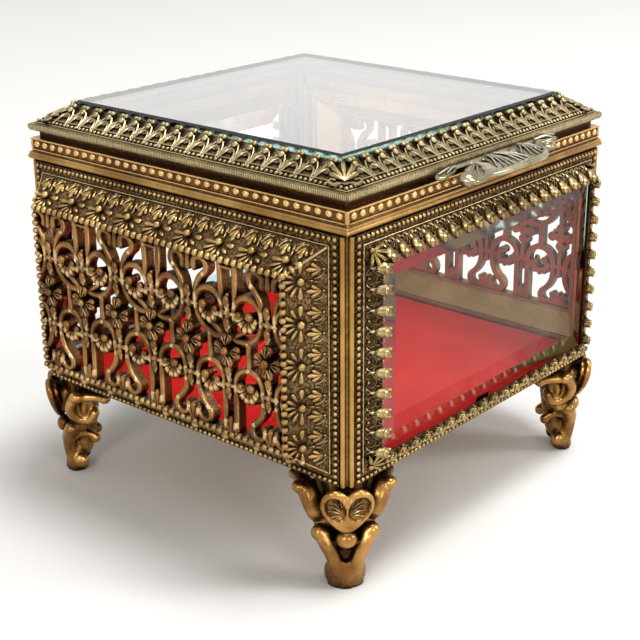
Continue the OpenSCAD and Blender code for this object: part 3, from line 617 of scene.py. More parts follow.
for wall in sideNames:
    place = wallPlace(wall)
    bm = bmesh.new()
    for edge, half in edges(place, wallSize):
        band = edge @ moved(0, sideBand["start"]) @ turned("X", bandSlope)
        inset = sideBand["daisy at"] * math.cos(math.radians(bandSlope)) + sideBand["corner room"]
        reach = half - sideBand["start"] - inset
        daisies = evenly(reach, sideBand["daisy pitch"])
        for along in daisies:
            stamp(bm, daisy, band @ moved(along, sideBand["daisy at"]))
        # two palmettes to each daisy, and a scallop between them
        step = reach / (len(daisies) - 1)
        for i in range(2 * len(daisies)):
            along = (i - len(daisies) + 0.5) * step
            stamp(bm, palmette, band @ moved(along, sideBand["palmette at"]))
            if i:
                stamp(bm, scallop, band @ moved(along - step / 2, sideBand["scallop at"]))
    finishPiece("band_flowers_" + wall, bm, castBrass)

    bm = bmesh.new()
    inner = sideBand["start"] + sideBand["run"] - 0.15
    high = sideBand["rise"] - 0.15
    beadRow(bm, place, wallSize, inner, high, *sideBand["beads"])
    for edge, half in edges(place, wallSize):
        # the mitre line up each corner of the band
        low, top = sideBand["start"] + 0.3, inner - 0.6
        ends = ((low - half, low, 0.35), (top - half, top, sideBand["rise"] - 0.9))
        stamp(bm, template(rod, *ends, *sideBand["mitre"]), edge)
    finishPiece("rim_beads_" + wall, bm, castBrass)
print("side bands done")


# Scrollwork crowns, flowers and curled leaves

scrolls = {"pitch": 23.3, "wire": 0.62, "front": 7.6, "crown": 0.8, "ring": 4.1, "ring at": 5.7,
           "upper": 8.6, "lower": -7.7, "half height": 19.7, "half width": 39.05, "blossom lift": 0.1}
heartGap = scrolls["ring at"] - scrolls["ring"]
lyreGap = scrolls["pitch"] / 2 - scrolls["ring at"] - scrolls["ring"]


def bar(start, end, r0, r1=None):
    middle = ((start[0] + end[0]) / 2, (start[1] + end[1]) / 2)
    return stroke([start, middle, end], r0, r1)


def mirrored(strokes, x, y):
    return [([Vector((p.x * x, p.y * y, p.z)) for p in points], radii) for points, radii in strokes]


def tieStrokes(gap):
    upper, lower = scrolls["upper"], scrolls["lower"]
    return [
        bar((-gap - 0.4, upper - 0.3), (gap + 0.4, upper - 0.3), 0.55),
        bar((-gap - 0.4, lower - 0.6), (gap + 0.4, lower - 0.6), 0.55),
        bar((0, 2.5), (0, upper), 0.5, 0.75), bar((0, -2.5), (0, lower - 0.6), 0.5, 0.75),
        bar((0, lower - 0.6), (0, lower - 3.2), 0.75, 0.5)]


def shellStrokes(low):
    root = -scrolls["half height"]
    return [bar((x / 3, root), (x, low + 1.6 - abs(x) / 2), 0.5, 0.78) for x in (-1.5, 0, 1.5)]


def heartStrokes():
    wire, ring, at = scrolls["wire"], scrolls["ring"], scrolls["ring at"]
    upper, lower, top = scrolls["upper"], scrolls["lower"], scrolls["half height"]
    sweep = 6.3
    sides = [
        arcStroke((at, upper), ring, -12, 200, wire),
        arcStroke((at, lower), ring - 0.1, -12, 200, wire),
        bar((at, upper - sweep), (at, lower + ring), wire),
        bar((at - 3.6, 3.2), (at - 0.6, upper - 3.3), 0.5, 0.6),
        arcStroke((at + ring - sweep, upper), sweep, -112, 0, wire, step=14),
        bar((at - ring + 0.3, upper + 1.5), (2.3, top), wire),
        bar((at - ring + 0.1, lower - 0.5), (1.6, -top), wire)]
    for v in (upper - 0.5, lower - 0.5):
        sides += [arcStroke((at, v), ring - 1.8, 190, 350, 0.6),
                  bar((at - ring + 0.2, v - 0.7), (at - ring + 1.8, v - 0.6), 0.7, 0.8),
                  bar((at + 1.3, v + 0.9), (at + ring - 1.8, v - 0.4), 0.6, 0.7)]
    stem = [bar((0, upper), (0, upper + 3.6), 0.8, 0.55), bar((-2, upper + 9.8), (2, upper + 9.8), 0.4)]
    return sides + mirrored(sides, -1, 1) + tieStrokes(heartGap) + shellStrokes(-18.2) + stem


def lyreStrokes():
    wire, bend, bendRadius, curlRadius, v = scrolls["wire"], 55, 6.5, 1.95, 8.3
    lean = math.radians(bend)
    knee = (lyreGap + bendRadius * (1 - math.cos(lean)), v + 2 + bendRadius * math.sin(lean))
    curl = (knee[0] - curlRadius * math.cos(lean), knee[1] + curlRadius * math.sin(lean))
    sides = [
        bar((lyreGap, v - 0.5), (lyreGap, v + 2), wire),
        arcStroke((lyreGap + bendRadius, v + 2), bendRadius, 180 - bend, 180, wire, step=14),
        arcStroke(curl, curlRadius, -bend, 205, wire)]
    upper = sides + mirrored(sides, -1, 1)
    stem = [bar((0, 16.2), (0, 19.5), 0.7, 0.5)]
    return upper + mirrored(upper, 1, -1) + tieStrokes(lyreGap) + shellStrokes(-18) + stem


def drawLeafCurls(bm):
    # the chunky leaf that hugs each ring from below: five lobes between two balls
    for mirror in (-1, 1):
        for v in (scrolls["upper"] - 0.5, scrolls["lower"] - 0.5):
            at = scrolls["ring at"]
            for angle, length, wide in ((196, 2.5, 2.0), (228, 2.7, 2.1), (262, 2.8, 2.1), (296, 2.6, 2.0),
                                        (330, 2.2, 1.8)):
                x, y, z = aimed(1, angle, 0.25)
                root = (mirror * (at + x), v + y + 0.3, z)
                turn = angle if mirror > 0 else 180 - angle
                petal(bm, root, turn, length, wide, 0.75, narrow=0.4, groove=0.55)
            ball(bm, (mirror * (at + 1.1), v + 0.9, 0.5), (1.15, 1.15, 1.0), around=10)
            ball(bm, (mirror * (at - 2.3), v + 0.4, 0.3), (0.85, 0.95, 0.7))


def drawBuds(bm, gap):
    # the buds above and below each tie between two rings, and the knot on the tie
    upper, lower = scrolls["upper"], scrolls["lower"]
    for v, size in ((5.6, 1.15), (-5.4, 1.15), (upper + 1.9, 1.15), (lower - 2.4, 1.0)):
        ball(bm, (0, v + 0.5 * size, 0.35), (0.85 * size, 1.25 * size, 0.75))
        for side in (-1, 1):
            petal(bm, (0, v - 1.7 * size, 0.25), 90 + side * 14, 2.3 * size, size, 0.6, narrow=0.5)
    for v in (upper - 0.3, lower - 0.6):
        ball(bm, (0, v, 0.25), (gap + 0.5, 0.62, 0.55), around=10)


def drawHeartTrim(bm):
    drawLeafCurls(bm)
    drawBuds(bm, heartGap)


def drawBlossom(bm):
    # four broad veined petals, each notched at its edge, round a ball
    for angle in (0, 90, 180, 270):
        for lean in (-15, 15):
            petal(bm, aimed(0.6, angle, 0.45), angle + lean, 3.4, 2.3, 0.8, narrow=0.25)
        for lean in (-26, 0, 26):
            petal(bm, aimed(0.9, angle, 0.95), angle + lean, 2.5, 0.42, 0.42, narrow=0.6)
    ball(bm, (0, 0, 1.15), (1.0, 1.0, 0.9), around=10)


def trimmed(bm):
    # cuts what crosses the rim, and closes the cut ends
    wide, high = scrolls["half width"], scrolls["half height"]
    for x, y, reach in ((1, 0, wide), (-1, 0, wide), (0, 1, high), (0, -1, high)):
        cut = bmesh.ops.bisect_plane(
            bm, geom=bm.verts[:] + bm.edges[:] + bm.faces[:], dist=0.0001,
            plane_co=(x * reach, y * reach, 0), plane_no=(x, y, 0), clear_outer=True)
        cutEdges = [e for e in cut["geom_cut"] if isinstance(e, bmesh.types.BMEdge)]
        bmesh.ops.holes_fill(bm, edges=cutEdges, sides=0)


# what each piece repeats, at which counts of the pitch, and how it is raised or flattened
hearts, lyres = (-2, -1, 0, 1, 2), (-1.5, -0.5, 0.5, 1.5)
crown = sized(1, 1, scrolls["crown"])
scrollPieces = {
    "scroll_crowns_": ((wires(heartStrokes()), hearts, crown), (wires(lyreStrokes()), lyres, crown)),
    "scroll_flowers_": (
        (template(drawBlossom), [i / 2 for i in range(-3, 4)], moved(0, 0, scrolls["blossom lift"])),
        (template(drawHeartTrim), hearts, Matrix()), (template(drawBuds, lyreGap), lyres, Matrix())),
}
for wall in sideNames:
    for name, parts in scrollPieces.items():
        bm = bmesh.new()
        for mesh, counts, shape in parts:
            for i in counts:
                stamp(bm, mesh, moved(i * scrolls["pitch"], 0) @ shape)
        trimmed(bm)
        bm.transform(wallPlace(wall) @ moved(0, 0, scrolls["front"]))
        finishPiece(name + wall, bm, scrollBrass)
print("scrollwork done")


# Leaf band round each window

windowBand = {"start": 2.4, "run": 4.3, "rise": 4.4, "leaf pitch": 4.4, "leaf room": 7.3,
              "corner leaf": (3.1, 3.1, 0.6), "corner tilt": 32}
windowSlope = math.degrees(math.atan2(windowBand["rise"], windowBand["run"]))


def drawBudLeaf(bm):
    # a plump creased leaf that points towards +y, its end curled up in two short nibs over the glass
    ball(bm, (0, 4.2, 0.5), (1.35, 1.75, 0.9), around=12, rings=8)
    petal(bm, (0, 1.2, 0.3), 90, 2.9, 1.5, 0.7, narrow=0.45)
    rim = [(-0.8, 5.85, 0.85), (-0.75, 5.2, 1.15), (0, 4.85, 1.3), (0.75, 5.2, 1.15), (0.8, 5.85, 0.85)]
    lines = [curvedStroke(rim, [0.3, 0.42, 0.42, 0.42, 0.3], per=2)]
    for side in (-1, 0, 1):
        petal(bm, (side * 0.35, 2.3, 0.9), 90 - side * 12, 2.7, 0.5, 0.5, narrow=0.5)
    for side in (-1, 1):
        curl = [(side * 0.15, 1.9, 0.15), (side * 0.55, 0.95, 0.12), (side * 1.3, 0.6, 0.1),
                (side * 1.75, 1.1, 0.1)]
        lines.append(curvedStroke(curl, [0.25, 0.22, 0.2, 0.26], per=2))
    addWires(bm, lines, resolution=0)


def drawFan(bm):
    # paired arches and a small ring between two leaves, with a ball under them
    ball(bm, (0, 1.25, 0.15), (0.42, 0.42, 0.42))
    arcs = ((1.3, 0.85, -10, 190, 0.15, 33), (1.5, 1.45, 5, 175, 0.16, 28), (3.9, 0.5, -60, 240, 0.15, 50))
    addWires(bm, [arcStroke((0, y), *arc) for y, *arc in arcs], resolution=0)


def drawCornerLeaf(bm):
    # a five-lobed leaf that points from the corner towards the glass
    for angle, length in ((90, 4.6), (58, 3.9), (122, 3.9), (24, 3.2), (156, 3.2)):
        petal(bm, (0, 1.2, 0.2), angle, length, 1.35, 0.65, groove=0.5)
    ball(bm, (0, 1.0, 0.35), (0.7, 0.7, 0.6))


budLeaf = template(drawBudLeaf)
fan = template(drawFan)
cornerLeaf = template(drawCornerLeaf)

for wall in windowNames:
    bm = bmesh.new()
    for edge, half in edges(wallPlace(wall), wallSize):
        band = edge @ moved(0, windowBand["start"]) @ turned("X", windowSlope)
        spots = evenly(half - windowBand["leaf room"], windowBand["leaf pitch"])
        for i, along in enumerate(spots):
            stamp(bm, budLeaf, band @ moved(along, 0))
            if i:
                stamp(bm, fan, band @ moved((along + spots[i - 1]) / 2, 0))
        corner = edge @ moved(-half, 0) @ moved(*windowBand["corner leaf"])
        stamp(bm, cornerLeaf, corner @ turned("Z", -45) @ turned("X", windowBand["corner tilt"]))
    finishPiece("window_leaves_" + wall, bm, leafBrass)
print("window leaves done")


# Collar

# each line: its height, its inset and its radius
collar = {"bead": 1.07, "pitch": 2.85, "inset": 1.35, "bead height": 4.1, "corner": 2.9,
          "lines": ((5.3, 0.85, 0.2), (2.72, 0.8, 0.2)),
          "seam": (2.75, 5.3), "seam inset": 1.1, "seam radius": 0.5}
collarPlace = moved(0, centreY, collarLow.z) @ millimetres
collarSize = ((collarHigh.y - collarLow.y) / mm,) * 2
beadRun = collarSize[0] / 2 - collar["corner"]
roundBead = template(ball, (0, 0, 0), (1, 1, 1), 12, 9)
seam = template(rod, *[(0, 0, z) for z in collar["seam"]], collar["seam radius"], None, 8)
bm = bmesh.new()
for edge, half in edges(collarPlace, collarSize):
    for along in evenly(beadRun, collar["pitch"]):
        at = edge @ moved(along, collar["inset"], collar["bead height"])
        stamp(bm, roundBead, at @ sized(*[collar["bead"]] * 3))
    for height, inset, radius in collar["lines"]:
        line = template(rod, (-beadRun - 1.5, 0, 0), (beadRun + 1.5, 0, 0), radius)
        stamp(bm, line, edge @ moved(0, inset, height))
    stamp(bm, seam, edge @ moved(collar["seam inset"] - half, collar["seam inset"]))
finishPiece("collar_beads", bm, beadGold)
print("collar done")


# Feet

foot = {"height": 26.4, "from corner": 4.8, "voxel": 0.33, "lean": 11, "heart at": (5.3, 0, 20.5),
        "flank at": 7.2, "flank lean": 20, "settle": 0.01, "ceiling": 0.0269}
heartHalf = [(0, 3.5), (1.5, 5.0), (3.4, 5.75), (5.2, 4.7), (6.0, 2.3), (5.2, -0.6), (3.3, -3.3), (1.6, -5.2)]


def heartLoop(inset):
    share = 1 - inset / 6
    right = [(y * share, z) for y, z in heartHalf]
    left = [(-y, z) for y, z in reversed(right[1:])]
    return [(0, y, z * share) for y, z in right + [(0, -5.9)] + left]


def bowlDepth(y, z):
    # how deep the two veined bowls of the heart are at a point of its face
    lean = math.radians(24)
    side, up = abs(y) - 2.6, z - 0.9
    across = side * math.cos(lean) - up * math.sin(lean)
    along = side * math.sin(lean) + up * math.cos(lean)
    return 1.7 * max(0.0, 1 - (across / 2.15) ** 2 - (along / 3.5) ** 2) ** 0.5


def drawHeart(bm, place):
    ring = heartLoop(0.95)
    path, thick = curved(ring, [1.0] * len(ring), closed=True)
    made = [bm.verts.new(place @ (p + Vector((-1.9, 0, 0)))) for p in path[:-1]]
    raised = bmesh.ops.extrude_face_region(bm, geom=[bm.faces.new(made)])
    top = [g for g in raised["geom"] if isinstance(g, bmesh.types.BMVert)]
    bmesh.ops.translate(bm, verts=top, vec=place.to_3x3() @ Vector((2.6, 0, 0)))
    bmesh.ops.recalc_face_normals(bm, faces=bm.faces)
    addWires(bm, [(path, thick)], place)


def sinkBowls(mesh, place):
    back = place.inverted()
    for vert in mesh.vertices:
        at = back @ vert.co
        if at.x > -0.6:
            at.x -= bowlDepth(at.y, at.z) * min(1.0, (at.x + 0.6) / 0.8)
            vert.co = place @ at


def drawHeartVeins(bm, place):
    barbs = []
    for side in (-1, 1):
        for k in range(7):
            turn = math.radians(4 + 15 * k)
            line = []
            for far in (0.8, 1.9, 3.0, 4.0):
                y = 0.9 + far * math.cos(turn) * 0.85
                z = -1.6 + 0.28 * k + far * math.sin(turn)
                line.append((0.72 - bowlDepth(y, z) * 0.93, side * y, z))
            barbs.append(curved(line, [0.12, 0.2, 0.2, 0.1], per=2))
    addWires(bm, barbs, place, 0)


def drawFoot(bm, heartPlace):
    # x points out of the corner: a stem and a toe, the heart in front, an arm and a scroll on each side
    top = foot["height"]
    rod(bm, (-1.8, 0, 8.5), (-1.8, 0, top - 0.05), 2.6, 5.2, sides=16)
    rod(bm, (1.0, 0, 0.05), (1.2, 0, 6.6), 2.9, 2.2, sides=14)
    ball(bm, (-1.2, 0, 7.4), (2.7, 2.7, 4.2), around=16, rings=12)
    drawHeart(bm, heartPlace)
    ball(bm, (2.3, 0, 20.0), (2.7, 3.8, 4.6), around=16, rings=12)
    ball(bm, (3.3, 0, 12.5), (2.1, 2.5, 2.2), around=16, rings=12)
    for side in (-1, 1):
        rod(bm, (0.9, side * 1.9, 0.05), (1.1, side * 1.7, 6.2), 2.3, 1.7, sides=12)
        ball(bm, (-0.4, side * 3.5, 2.6), (2.1, 1.25, 2.3), around=16, rings=12)
        arm = [(0.8, side * 5.3, 13.2), (1.9, side * 4.3, 11.0), (2.2, side * 3.2, 8.6),
               (2.1, side * 2.4, 6.2), (1.6, side * 2.0, 3.6)]
        scroll = [(0.6, side * 2.9, 3.4), (1.8, side * 2.9, 5.2), (1.8, side * 3.2, 7.6),
                  (0.9, side * 3.5, 9.6), (-0.9, side * 3.5, 10.7), (-3.0, side * 3.3, 10.5),
                  (-4.5, side * 3.0, 9.4)]
        addWires(bm, [curvedStroke(arm, [2.0, 1.9, 1.75, 1.8, 1.9]),
                      curvedStroke(scroll, [0.8, 0.85, 0.9, 0.95, 1.0, 1.1, 1.35])])
        ball(bm, (1.0, side * 5.8, 13.3), (1.9, 2.0, 1.9), around=14, rings=10)
        ball(bm, (-1.6, side * 4.0, 14.6), (2.2, 3.0, 2.6), around=14, rings=10)
        ball(bm, (-4.5, side * 3.0, 9.2), (1.4, 1.4, 1.5), around=12, rings=8)
        # the flank: an open scroll round a hollow, carried by a web behind the heart
        ball(bm, (-2.6, side * 4.4, top - 6.0), (1.7, 3.6, 5.6), around=16, rings=12)
        flank = (moved(-2.4, side * foot["flank at"], top - 6.4) @ turned("X", -side * foot["flank lean"])
                 @ sized(1, 1.5, 1))
        curl = [(-5.4, side * 0.9, 4.5), (-3.2, side * 0.5, 4.4), (-0.6, side * 0.2, 4.2), (2.0, 0, 3.0),
                (3.3, 0, 0.4), (2.6, 0, -2.4), (0.6, 0, -4.0), (-1.8, 0, -3.6), (-2.7, 0, -1.8)]
        addWires(bm, [curvedStroke(curl, [1.2, 1.3, 1.4, 1.5, 1.45, 1.45, 1.5, 1.6, 1.3])], flank)
        for x, y, z, *size in ((-5.8, 1.2, 4.2, 1.6, 1.7, 1.4), (1.2, 0.9, 4.6, 2.0, 1.7, 1.5),
                               (0.2, -0.5, -0.2, 2.7, 0.9, 3.2)):
            ball(bm, flank @ Vector((x, side * y, z)), size, around=12, rings=8)


heartPlace = moved(*foot["heart at"]) @ turned("Y", foot["lean"])
footCasting = melted(template(drawFoot, heartPlace), foot["voxel"])
sinkBowls(footCasting, heartPlace)
heartVeins = template(drawHeartVeins, heartPlace)
inner = halfBody / mm - foot["from corner"]
for name, (sx, sy) in cornerSigns.items():
    turn = turned("Z", math.degrees(math.atan2(sy, sx)))
    bm = bmesh.new()
    bm.from_mesh(footCasting)
    bm.from_mesh(heartVeins)
    bm.transform(moved(0, centreY) @ millimetres @ moved(sx * inner, sy * inner) @ turn)
    # the toe is eased onto the floor, and nothing reaches into the floor plate
    low = min(v.co.z for v in bm.verts)
    for vert in bm.verts:
        z = vert.co.z
        if z < foot["settle"]:
            z -= low * (1 - z / foot["settle"])
        vert.co.z = min(max(z, 0.0), foot["ceiling"])
    piece = finishPiece("foot_casting_" + name, bm, bronzedBrass)
    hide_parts("foot_" + name)
print("feet done")


# Velvet pad

pad = {"crown": 1.1, "round": 1.3, "divisions": 44, "fill": 0.75, "notch": 3.0, "under": 0.2, "dents": 0.12}
padLow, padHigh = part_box("velvet_pad")
thick = (padHigh.z - padLow.z) / mm
halfPad = ((padHigh.x - padLow.x) / 2 / mm, (padHigh.y - padLow.y) / 2 / mm)
bm = bmesh.new()
bmesh.ops.create_grid(bm, x_segments=pad["divisions"], y_segments=pad["divisions"], size=1)


def fromWalls(vert):
    # how far in from the two nearest walls a place on the grid is
    return (1 - abs(vert.co.x)) * halfPad[0], (1 - abs(vert.co.y)) * halfPad[1]


corners = [v for v in bm.verts if max(fromWalls(v)) < pad["notch"]]
bmesh.ops.delete(bm, geom=corners, context="VERTS")
walls = bmesh.ops.extrude_face_region(bm, geom=bm.faces[:])
lifted = [g for g in walls["geom"] if isinstance(g, bmesh.types.BMVert)]
for vert in lifted:
    # low at the walls, crowned in the middle, with the faint dents of wadding under the pile
    ease = 1 - math.exp(-max(min(fromWalls(vert)), 0.0) / pad["round"])
    dents = pad["dents"] * math.sin(5.1 * vert.co.x + 1.3) * math.sin(4.3 * vert.co.y - 0.4)
    middle = (1 - vert.co.x ** 2) * (1 - vert.co.y ** 2)
    edge = (thick - pad["crown"] - pad["under"]) * (0.35 + 0.65 * ease)
    vert.co.z = edge + (pad["crown"] * middle + dents) * ease
bm.transform(moved(0, (padLow.y + padHigh.y) / 2, padLow.z) @ millimetres @ sized(*halfPad, 1))
piece = finishPiece("velvet_cushion", bm, velvetPile, crease=80)
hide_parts("velvet_pad")
print("velvet done")


# Panes

for name, body, plain in (("front_glass", "casket", clearGlass), ("back_glass", "casket", clearGlass),
                          ("lid_glass", "lid", lidGlass)):
    bm = bmesh.new()
    bm.from_mesh(nodes[name].data)
    bmesh.ops.remove_doubles(bm, verts=bm.verts, dist=0.00002)
    bmesh.ops.dissolve_limit(bm, angle_limit=math.radians(1), verts=bm.verts, edges=bm.edges)
    # the two big faces are clear, and the bevels and edges are cut glass
    big = max(bm.faces, key=lambda f: f.calc_area()).normal.copy()
    for face in bm.faces:
        face.material_index = 0 if abs(face.normal.dot(big)) > 0.99 else 1
    piece = finishPiece(name.replace("glass", "pane"), bm, plain, body, crease=5)
    piece.data.materials.append(cutGlass)
    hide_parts(name)
print("panes done")


# Lid ornament

lid = {"slope": 32.2, "start": 1.4, "rise at": 2.0, "tongue pitch": 4.57, "tongue room": 9.3,
       "reed pitch": 0.5, "beads": (1.95, 2.45, 0.52, 1.35), "lines": ((1.3, 2.05, 0.2), (2.75, 3.0, 0.24)),
       "corner leaf": (2.2, 2.2, 2.3), "corner tilt": 24}
lidPlace = moved(0, centreY, lidLow.z) @ millimetres


def drawTongue(bm):
    # an arch of paired lines over a plain ground, with a bud and a rolled two-lobe tip above it
    arch = [(-2.05, 0.7, 0.08), (-1.75, 2.1, 0.12), (-1.25, 3.5, 0.16), (0, 4.55, 0.22), (1.25, 3.5, 0.16),
            (1.75, 2.1, 0.12), (2.05, 0.7, 0.08)]
    lines = [curved(arch, [0.26, 0.26, 0.27, 0.28, 0.27, 0.26, 0.26], per=2),
             curved([(2.28, 0.6, 0.08), (2.28, 2.6, 0.1), (2.28, 4.7, 0.14)], [0.2, 0.17, 0.15], per=2)]
    for side in (-1, 1):
        outer = [(side * 2.2, 1.0, 0.08), (side * 2.0, 2.9, 0.12), (side * 1.55, 4.5, 0.18),
                 (side * 0.8, 5.7, 0.35)]
        lines.append(curved(outer, [0.17, 0.17, 0.2, 0.2], per=2))
        ball(bm, (side * 0.5, 6.75, 0.7), (0.7, 0.62, 0.55), around=10)
    addWires(bm, lines, resolution=0)
    ball(bm, (0, 5.6, 0.4), (0.78, 1.0, 0.7), around=10)


def drawLidCorner(bm):
    # a five-lobed leaf with a small volute at each side of its root
    for angle, length in ((90, 6.4), (64, 5.4), (116, 5.4), (40, 4.0), (140, 4.0)):
        petal(bm, (0, 2.6, 0.1), angle, length, 1.7, 0.6, narrow=0.3, groove=0.5)
    for side in (-1, 1):
        volute = [(side * x, y) for x, y in ((1.2, 1.6), (2.6, 1.5), (3.4, 2.3), (2.9, 3.2), (2.1, 2.9))]
        addWires(bm, [stroke(volute, 0.4, 0.25)], resolution=1)


tongue = template(drawTongue)
lidCorner = template(drawLidCorner)
reed = template(rod, (0, -0.02, 0.75), (0, 0.1, 1.72), 0.17)
leaves, reeding = bmesh.new(), bmesh.new()
beadRow(leaves, lidPlace, lidSize, *lid["beads"])
for line in lid["lines"]:
    lineRow(leaves, lidPlace, lidSize, *line)
for edge, half in edges(lidPlace, lidSize):
    slope = edge @ moved(0, lid["start"], lid["rise at"]) @ turned("X", lid["slope"])
    for along in evenly(half - lid["tongue room"], lid["tongue pitch"]):
        stamp(leaves, tongue, slope @ moved(along, 0, 0.05))
    corner = edge @ moved(-half, 0) @ moved(*lid["corner leaf"])
    stamp(leaves, lidCorner, corner @ turned("Z", -45) @ turned("X", lid["corner tilt"]))
    for along in evenly(half - 0.6, lid["reed pitch"]):
        stamp(reeding, reed, edge @ moved(along, 0.02))
finishPiece("lid_leaves", leaves, paleBrass, "lid")
finishPiece("lid_edge_reeding", reeding, paleBrass, "lid")
print("lid done")


# Thumb lift

lift = {"slope": 9, "height": 0.75, "voxel": 0.26}


def drawLift(bm):
    # a leaf spray seen from above: x along the lid's edge and y out from it
    for x, y, *shape in (
            (-14.6, 1.5, 171, 9.6, 3.6, 0.95), (-9.5, 2.4, 147, 9.5, 5.6, 1.2), (-13, 3.6, 118, 4.6, 3.4, 1),
            (-9, 1.0, 72, 6.4, 3.6, 1), (-3.5, 0.6, 100, 8.0, 5.2, 1.25), (-1, 0.8, 66, 8.6, 4.8, 1.2),
            (8.2, 0.4, 140, 6.6, 3.4, 1), (9, 0.4, 112, 8.0, 3.6, 1.15), (10, 0.2, 88, 8.2, 3.4, 1.15),
            (11, 0.2, 66, 6.4, 3.0, 1), (15, 1.4, 6, 9.6, 3.2, 0.9)):
        petal(bm, (x, y, 0.1), *shape, narrow=0.45, groove=0.35, around=14, rings=10)
    ball(bm, (-17.9, 7.0, 0.0), (2.5, 2.1, 1.7), around=14, rings=10)
    filler = [curvedStroke([(-13.5, 6.2), (-6, 6.6), (2, 6.6), (9.5, 6.0)], [1.9, 2.1, 2.2, 2.2]),
              curvedStroke([(-16, 0.7), (-4, 0.8), (6, 0.7), (16.5, 0.8)], [0.9, 1.1, 1.1, 0.9])]
    addWires(bm, filler, sized(1, 1, 0.36))
    rim = [(-20.2, 6.6, 0.3), (-18.6, 9.0, 0.2), (-15.6, 8.9, 0.1), (-12.0, 8.1, 0.1), (-7.0, 8.6, 0.1),
           (-1.0, 8.7, 0.1), (5.0, 8.7, 0.15), (10.0, 8.3, 0.25), (12.6, 6.6, 0.4), (13.4, 4.4, 0.5),
           (15.2, 3.1, 0.55), (17.4, 3.9, 0.5), (17.7, 5.9, 0.45), (16.0, 6.6, 0.4)]
    radii = [0.45, 0.7, 0.7, 0.7, 0.75, 0.8, 0.85, 0.85, 0.8, 0.8, 0.8, 0.75, 0.7, 0.7]
    addWires(bm, [curvedStroke(rim, radii)])
    ball(bm, (15.7, 5.3, 0.1), (1.3, 1.4, 0.9), around=12, rings=8)


def drawLiftVeins(bm):
    veins = []
    for root, *tips in (((-3.4, 1.2), (-7.4, 7.0), (-5.6, 7.6), (-3.8, 7.9), (-2.0, 7.8)),
                        ((-0.6, 1.4), (0.2, 7.8), (2.2, 7.7), (4.2, 7.3)),
                        ((9.4, 0.9), (4.6, 5.6), (6.4, 7.0), (8.2, 7.6), (10.2, 7.4), (11.9, 6.0)),
                        ((-10.4, 3.0), (-16.6, 6.4), (-14.8, 6.9), (-12.2, 7.0)),
                        ((-15.4, 1.6), (-23.0, 2.6), (-21.0, 3.3)),
                        ((15.8, 1.5), (23.6, 2.2), (21.4, 2.8))):
        for tip in tips:
            middle = ((root[0] + tip[0]) / 2 + 0.25, (root[1] + tip[1]) / 2, 1.25)
            veins.append(curved([(*root, 0.75), middle, (*tip, 0.85)], [0.22, 0.2, 0.14]))
    addWires(bm, veins, resolution=0)


bm = bmesh.new()
bm.from_mesh(melted(template(drawLift), lift["voxel"], smooth=1))
drawLiftVeins(bm)
place = moved(0, lidLow.y, lidLow.z) @ millimetres @ moved(0, 0, lift["height"])
bm.transform(place @ turned("X", lift["slope"]) @ sized(1, -1, 1))
piece = finishPiece("lift_casting", bm, silveredBrass, "lid")
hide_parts("thumb_lift")
print("thumb lift done")


# Stage, light and camera

stage = {"half size": 12, "floor": (0.82, 0.81, 0.79, 1), "room": (1, 0.985, 0.96, 1), "room light": 0.42,
         "horizon": (0.85, 0.845, 0.83, 1), "ceiling": (0.97, 0.965, 0.95, 1)}
# each lamp: where it is, where it aims, its width and height in metres, and its watts
lamps = {
    "overhead": ((0.25, -0.35, 1.9), (0, 0, 0.05), (0.7, 0.7), 28.0),
    "rightWindow": ((1.1, -1.5, 1.0), (0, 0, 0.06), (0.5, 0.7), 14.0),
    "backWindow": ((2.3, 1.87, 0.8), (0, 0, 0.09), (2.2, 1.2), 4.4),
    "frontWindow": ((-0.5, -1.5, 0.55), (0, 0, 0.06), (0.5, 0.5), 5.0),
    "leftWindow": ((-1.6, -0.7, 0.9), (0, 0, 0.06), (0.4, 0.6), 8.0),
}
view = {"at": (-0.25321, -0.21561, 0.16644), "yaw": 50.94, "pitch": -20.95, "roll": 0.17,
        "lens": 77.88, "shift": -0.0625}


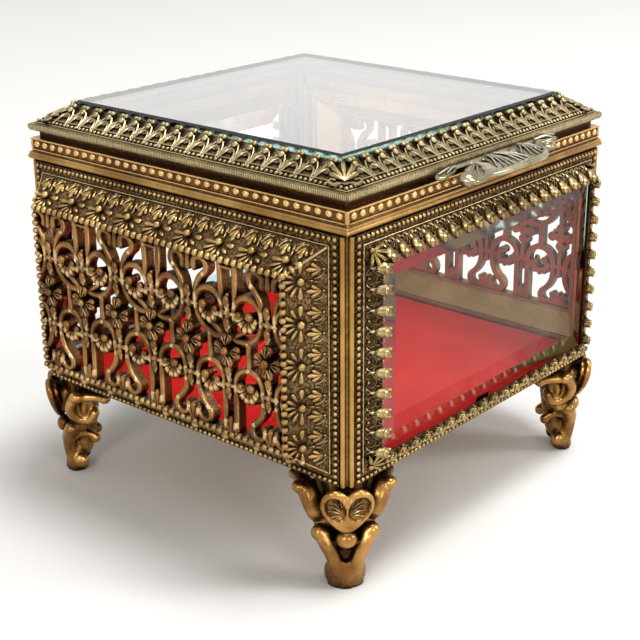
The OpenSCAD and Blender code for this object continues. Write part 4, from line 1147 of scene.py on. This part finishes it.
def makeFloor():
    bm = bmesh.new()
    bmesh.ops.create_grid(bm, x_segments=1, y_segments=1, size=stage["half size"])
    mesh = bpy.data.meshes.new("floor")
    bm.to_mesh(mesh)
    bm.free()
    material, tree, shader = newMaterial("paleFloor")
    feed(tree, shader, {"Base Color": stage["floor"], "Roughness": 0.8, "Specular IOR Level": 0.0})
    mesh.materials.append(material)
    addObject("floor", mesh)


def makeLamp(name, at, aim, size, power):
    lamp = bpy.data.lights.new(name, "AREA")
    lamp.shape = "RECTANGLE"
    lamp.size, lamp.size_y = size
    lamp.energy = power
    holder = addObject(name, lamp)
    holder.location = at
    holder.rotation_mode = "QUATERNION"
    holder.rotation_quaternion = (Vector(aim) - Vector(at)).to_track_quat("-Z", "Y")


def makeWorld():
    world = bpy.data.worlds.new("studio")
    bpy.context.scene.world = world
    world.use_nodes = True
    tree = world.node_tree
    tree.nodes.clear()
    values = {"Color": stage["room"], "Strength": stage["room light"]}
    room = makeNode(tree, "ShaderNodeBackground", values)
    # the backdrop fades from a bright ceiling to a dimmer horizon
    shade = rangeNode(tree, axes(tree, "Generated")["Z"], 0.0, 0.35)
    colour = mixNode(tree, shade, stage["horizon"], stage["ceiling"])
    backdrop = makeNode(tree, "ShaderNodeBackground", {"Color": colour})
    path = tree.nodes.new("ShaderNodeLightPath").outputs
    seen = mathNode(tree, "MAXIMUM", path["Is Camera Ray"], path["Is Transmission Ray"])
    seen = mathNode(tree, "MAXIMUM", seen, path["Is Glossy Ray"])
    mix = makeNode(tree, "ShaderNodeMixShader", {0: seen, 1: room.outputs[0], 2: backdrop.outputs[0]})
    makeNode(tree, "ShaderNodeOutputWorld", {"Surface": mix.outputs[0]})


def makeCamera():
    camera = bpy.data.cameras.new("camera")
    camera.sensor_width = 36
    camera.lens = view["lens"]
    camera.shift_x = view["shift"]
    holder = addObject("camera", camera)
    aim = turned("Z", -view["yaw"]) @ turned("X", 90 + view["pitch"]) @ turned("Z", view["roll"])
    holder.matrix_world = moved(*view["at"]) @ aim
    bpy.context.scene.camera = holder


makeFloor()
makeWorld()
for name, values in lamps.items():
    makeLamp(name, *values)
makeCamera()
bpy.context.scene.view_settings.view_transform = "Standard"
print("stage ready")
